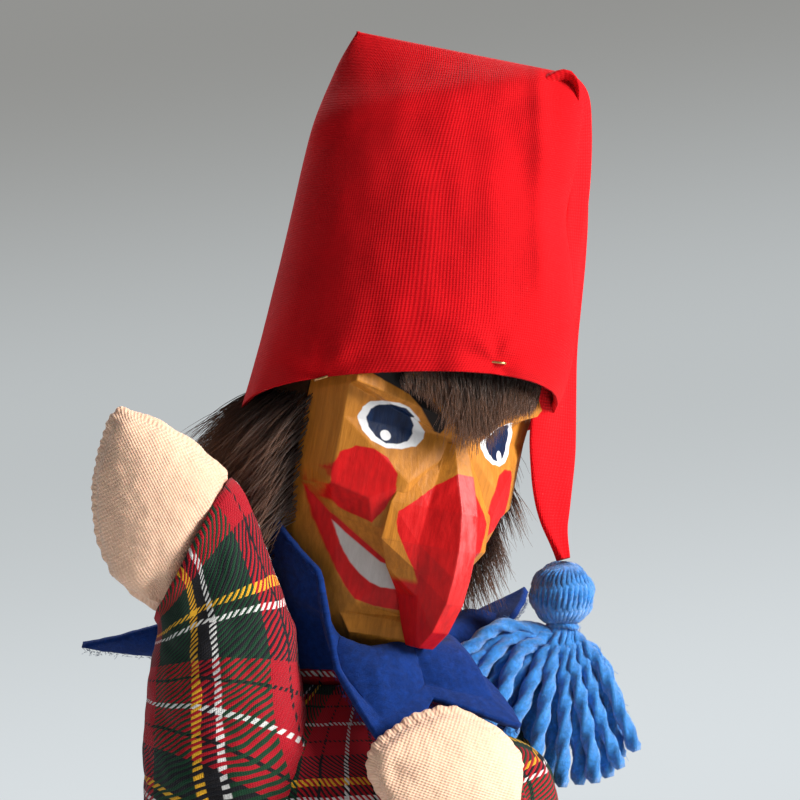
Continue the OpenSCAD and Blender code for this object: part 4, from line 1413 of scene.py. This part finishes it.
def build_wig(look):
    rng = random.Random(19)
    fur = wig_fur(look)
    skins, cloth = [], []

    def grow(root, way, length, droop, thick, tone):
        path = []
        place, step = root.copy(), way.normalized()
        for k in range(7):
            path.append(FACE_FRAME @ (place * MM))
            place = place + step * length / 6
            stray = Vector((rng.gauss(0, 0.07), rng.gauss(0, 0.07), rng.gauss(0, 0.05)))
            step = (step + Vector((0, 0, -droop)) + stray).normalized()
            flat = Vector((place.x / 37.5, (place.y - 1.5) / 38.5, 0))
            if flat.length < 1.03 and place.z > 28:
                place += Vector((flat.x, flat.y, 0)) * 2.0
        skin = strand(path, thick * MM)
        for k in range(len(skin[0])):
            cloth.append(((k // 3) / 6, tone, 0))
        skins.append(skin)

    for _ in range(9800):
        turn = math.radians(rng.uniform(76, 284) if rng.random() < 0.8 else rng.uniform(75, 110))
        z = 30 + 46 * rng.random() ** 0.8
        front = min(abs(turn - math.radians(76)), abs(turn - math.radians(284)))
        root = fur_root(turn, z, 1.0)
        outward = Vector((math.sin(turn), -math.cos(turn), 0))
        clump = wander((math.degrees(turn) * 0.5, z, 0), 7, 3.0)
        lift = 0.62 + 0.35 * clump + 0.25 * rng.random()
        way = outward * lift + Vector((0, 0, -0.75)) + Vector((clump * 0.3, 0.18, 0))
        length = rng.uniform(18, 32) * (1 + 0.25 * clump) * (0.85 + 0.15 * ease(front, 0, 0.5))
        tone = min(max(0.5 + 0.5 * wander((math.degrees(turn), z * 2, 0), 9, 7.0) + rng.gauss(0, 0.15), 0), 1)
        grow(root, way, length, rng.uniform(0.05, 0.16), rng.uniform(0.12, 0.2), tone)
    for _ in range(3000):
        x = rng.uniform(-27, 31)
        z = rng.uniform(84, 91) + x * 0.03
        f = 39.6 - 0.008 * x * x - max(0, x - 22) * 0.35 + rng.uniform(0, 1.8)
        way = Vector(((-4 - x) * 0.015 + rng.gauss(0, 0.16), -0.26 + rng.gauss(0, 0.1), -1.0))
        length = rng.uniform(0.6, 1.08) * along(FRINGE_DROP, x)
        tone = min(max(0.4 + 0.5 * wander((x * 3, z * 2, 0), 9, 5.0) + rng.gauss(0, 0.15), 0), 1)
        grow(Vector((x, -f, z)), way, length, 0.04, rng.uniform(0.12, 0.2), tone)
    points, faces = join_skins(skins)
    hair = new_piece("fur_strands", points, faces, "head", cloth=cloth)
    give(hair, fur)
    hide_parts("wig_sides", "wig_fringe")

    rings, around = [], 120
    for j in range(15):
        z = 27 + j * 4.1
        ring = []
        for i in range(around):
            turn = math.radians(80 + 200 * i / (around - 1))
            p = fur_root(turn, z, 1.4 + 0.8 * wander((i, j * 3, 0), 5, 1.0))
            ring.append(FACE_FRAME @ (p * MM))
        rings.append(ring)
    backing = cloth_shell(
        "fur_backing", rings, [(i, j, 0) for j in range(15) for i in range(around)], 1.2 * MM, "head",
        closed=False
    )
    give(backing, shaded_fur_backing(look))


# ---------- stage ----------


def build_stage(look):
    scene = bpy.context.scene
    camera = bpy.data.objects.new("puppet_view", bpy.data.cameras.new("puppet_view"))
    scene.collection.objects.link(camera)
    camera.data.lens, camera.data.sensor_width = 150, 36
    camera.location = seen(16.5, -1000, 308.5)
    camera.rotation_euler = (math.radians(90), 0, math.radians(-30))
    camera.data.clip_end = 20
    scene.camera = camera

    floor_paint = Finish("pale_floor")
    tone = floor_paint.noise(floor_paint.places("rest"), 0.004, 3.0)
    pale = floor_paint.close(floor_paint.mixed(tone, (0.6, 0.62, 0.63, 1), (0.68, 0.7, 0.71, 1)), 0.9)
    size = 2600
    floor = new_piece(
        "studio_floor",
        [seen(u, d, -0.05) for u, d in ((-size, -size), (size, -size), (size, size), (-size, size))],
        [(0, 1, 2, 3)]
    )
    give(floor, pale)
    # the backdrop: a sheet that only the camera sees and that glows by itself, a painted light
    rings = []
    for j in range(25):
        z = 1700 * j / 24
        radius = 1350 - 260 * max(0, 1 - z / 260) ** 2
        rings.append([seen(radius * math.sin(a), radius * math.cos(a), z) for a in round_angles(96)])
    points, faces = lofted(rings, capped=False)
    paper = new_piece("glowing_backdrop", points, faces)
    paper.visible_diffuse = paper.visible_glossy = paper.visible_shadow = paper.visible_transmission = False
    f = Finish("glowing_falloff_paint")
    rest = f.places("rest")
    x, y, z = f.parts(rest)
    across = f.sum("ADD", f.sum("MULTIPLY", x, RIGHT.x), f.sum("MULTIPLY", y, RIGHT.y))
    # painted falloff of the light: the glow is pale near the floor, darker towards the top and darker to the
    # left
    height = f.sum("ADD", z, f.sum("MULTIPLY", across, -0.12))
    low = f.mixed(f.between(height, 30, 320), dyed(look.backdrop_low), dyed(look.backdrop_middle))
    shade = f.mixed(f.between(height, 300, 590), low, dyed(look.backdrop_high))
    glow = f.tree.nodes.new("ShaderNodeEmission")
    f.tree.links.new(shade, glow.inputs[0])
    end = f.tree.nodes.new("ShaderNodeOutputMaterial")
    side = f.tree.nodes.new("ShaderNodeNewGeometry")
    clear = f.tree.nodes.new("ShaderNodeBsdfTransparent")
    one_sided = f.tree.nodes.new("ShaderNodeMixShader")
    f.tree.links.new(side.outputs["Backfacing"], one_sided.inputs[0])
    f.tree.links.new(clear.outputs[0], one_sided.inputs[2])
    f.tree.links.new(glow.outputs[0], one_sided.inputs[1])
    f.tree.links.new(one_sided.outputs[0], end.inputs[0])
    give(paper, f.material)

    def lamp(name, place, size, power, colour):
        data = bpy.data.lights.new(name, "AREA")
        data.shape, data.size, data.energy, data.color = "SQUARE", size, power, colour
        made = bpy.data.objects.new(name, data)
        scene.collection.objects.link(made)
        made.location = place
        made.rotation_euler = (seen(10, 0, 300) - Vector(place)).to_track_quat("-Z", "Y").to_euler()

    lamp("window_right", seen(1150, -420, 760), 0.6, look.key_power, (1.0, 0.98, 0.95))
    lamp("fill_left", seen(-1100, -700, 400), 1.2, look.key_power * 0.06, (0.92, 0.96, 1.0))
    lamp("rim_behind", seen(-250, 900, 1100), 0.8, look.key_power * 0.35, (1.0, 1.0, 1.0))
    world = bpy.data.worlds.new("studio_air")
    world.use_nodes = True
    world.node_tree.nodes["Background"].inputs[0].default_value = (0.75, 0.82, 0.9, 1)
    world.node_tree.nodes["Background"].inputs[1].default_value = 0.17
    scene.world = world
    scene.view_settings.view_transform = "Standard"


# ---------- the add-on ----------


def tint(name, text, value):
    return FloatVectorProperty(
        name=name, description=text, subtype="COLOR", size=3, min=0, max=1, default=value
    )


class PuppetLook(bpy.types.PropertyGroup):
    """Colours of the puppet and its stage."""

    wood: tint("Stained wood", "Ochre stain of the carved head", (0.53, 0.195, 0.022))
    paint_red: tint("Red paint", "Paint of the nose, cheeks and lips", (0.62, 0.007, 0.008))
    cap: tint("Cap cotton", "Red cotton of the cap", (0.6, 0.003, 0.007))
    felt: tint("Collar felt", "Blue felt of the collar", (0.002, 0.03, 0.19))
    wool: tint("Tassel wool", "Blue yarn of the tassel", (0.04, 0.29, 0.8))
    fur: tint("Fur", "Brown fur of the wig", (0.085, 0.04, 0.02))
    jersey: tint("Mitt jersey", "Knitted cotton of the mitts", (0.88, 0.57, 0.4))
    tartan_red: tint("Tartan red", "Red threads of the dress", (0.42, 0.003, 0.014))
    tartan_green: tint("Tartan green", "Green threads of the dress", (0.003, 0.045, 0.018))
    backdrop_low: tint("Backdrop, low", "Colour near the floor", (0.70, 0.745, 0.77))
    backdrop_middle: tint("Backdrop, middle", "Colour at the puppet's middle", (0.50, 0.53, 0.54))
    backdrop_high: tint("Backdrop, high", "Colour above the puppet", (0.29, 0.29, 0.28))
    key_power: FloatProperty(
        name="Window light", description="Power of the main light", subtype="POWER", unit="POWER",
        default=33.0, min=1
    )


class PUPPET_OT_stage(bpy.types.Operator):
    """Add the camera, lights, floor and backdrop"""

    bl_idname = "puppet.stage"
    bl_label = "Stage"
    bl_options = {"REGISTER", "UNDO"}

    def execute(self, context):
        build_stage(context.scene.puppet_look)
        return {"FINISHED"}


class PUPPET_OT_head(bpy.types.Operator):
    """Carve and paint the head, nose and neck peg"""

    bl_idname = "puppet.head"
    bl_label = "Carved Head"
    bl_options = {"REGISTER", "UNDO"}

    def execute(self, context):
        build_head(context.scene.puppet_look)
        return {"FINISHED"}


class PUPPET_OT_neck_tie(bpy.types.Operator):
    """Lay the drawstring and its casing round the neck"""

    bl_idname = "puppet.neck_tie"
    bl_label = "Neck Tie"
    bl_options = {"REGISTER", "UNDO"}

    def execute(self, context):
        build_neck_tie(context.scene.puppet_look)
        return {"FINISHED"}


class PUPPET_OT_cap(bpy.types.Operator):
    """Sew the folded cap and its hanging tail"""

    bl_idname = "puppet.cap"
    bl_label = "Cap"
    bl_options = {"REGISTER", "UNDO"}

    def execute(self, context):
        build_cap(context.scene.puppet_look)
        return {"FINISHED"}


class PUPPET_OT_staples(bpy.types.Operator):
    """Press the brass staples into the brim"""

    bl_idname = "puppet.staples"
    bl_label = "Staples"
    bl_options = {"REGISTER", "UNDO"}

    def execute(self, context):
        build_staples(context.scene.puppet_look)
        return {"FINISHED"}


class PUPPET_OT_tassel(bpy.types.Operator):
    """Wind the wool ball and its loose yarns"""

    bl_idname = "puppet.tassel"
    bl_label = "Tassel"
    bl_options = {"REGISTER", "UNDO"}

    def execute(self, context):
        build_tassel(context.scene.puppet_look)
        return {"FINISHED"}


class PUPPET_OT_collar(bpy.types.Operator):
    """Cut the star collar from felt"""

    bl_idname = "puppet.collar"
    bl_label = "Collar"
    bl_options = {"REGISTER", "UNDO"}

    def execute(self, context):
        build_collar(context.scene.puppet_look)
        return {"FINISHED"}


class PUPPET_OT_dress(bpy.types.Operator):
    """Sew the tartan dress and its sleeves"""

    bl_idname = "puppet.dress"
    bl_label = "Dress"
    bl_options = {"REGISTER", "UNDO"}

    def execute(self, context):
        build_dress(context.scene.puppet_look)
        return {"FINISHED"}


class PUPPET_OT_mitts(bpy.types.Operator):
    """Stuff the two jersey mitts"""

    bl_idname = "puppet.mitts"
    bl_label = "Mitts"
    bl_options = {"REGISTER", "UNDO"}

    def execute(self, context):
        build_mitts(context.scene.puppet_look)
        return {"FINISHED"}


class PUPPET_OT_wig(bpy.types.Operator):
    """Plant the fur wig strand by strand"""

    bl_idname = "puppet.wig"
    bl_label = "Wig"
    bl_options = {"REGISTER", "UNDO"}

    def execute(self, context):
        build_wig(context.scene.puppet_look)
        return {"FINISHED"}


OPERATORS = [
    PUPPET_OT_stage, PUPPET_OT_head, PUPPET_OT_neck_tie, PUPPET_OT_cap, PUPPET_OT_staples,
    PUPPET_OT_tassel, PUPPET_OT_collar, PUPPET_OT_dress, PUPPET_OT_mitts, PUPPET_OT_wig,
]


class PUPPET_PT_parts(bpy.types.Panel):
    """Lists the puppet's pieces and colours."""

    bl_label = "Glove Puppet"
    bl_space_type = "VIEW_3D"
    bl_region_type = "UI"
    bl_category = "Puppet"

    def draw(self, context):
        for name in PuppetLook.__annotations__:
            self.layout.prop(context.scene.puppet_look, name)
        for operator in OPERATORS:
            self.layout.operator(operator.bl_idname)


CLASSES = [PuppetLook, *OPERATORS, PUPPET_PT_parts]


def register():
    for cls in CLASSES:
        bpy.utils.register_class(cls)
    bpy.types.Scene.puppet_look = PointerProperty(type=PuppetLook)


def unregister():
    del bpy.types.Scene.puppet_look
    for cls in reversed(CLASSES):
        bpy.utils.unregister_class(cls)


def main():
    register()
    for operator in OPERATORS:
        group, name = operator.bl_idname.split(".")
        getattr(getattr(bpy.ops, group), name)()


if __name__ == "__main__":
    main()
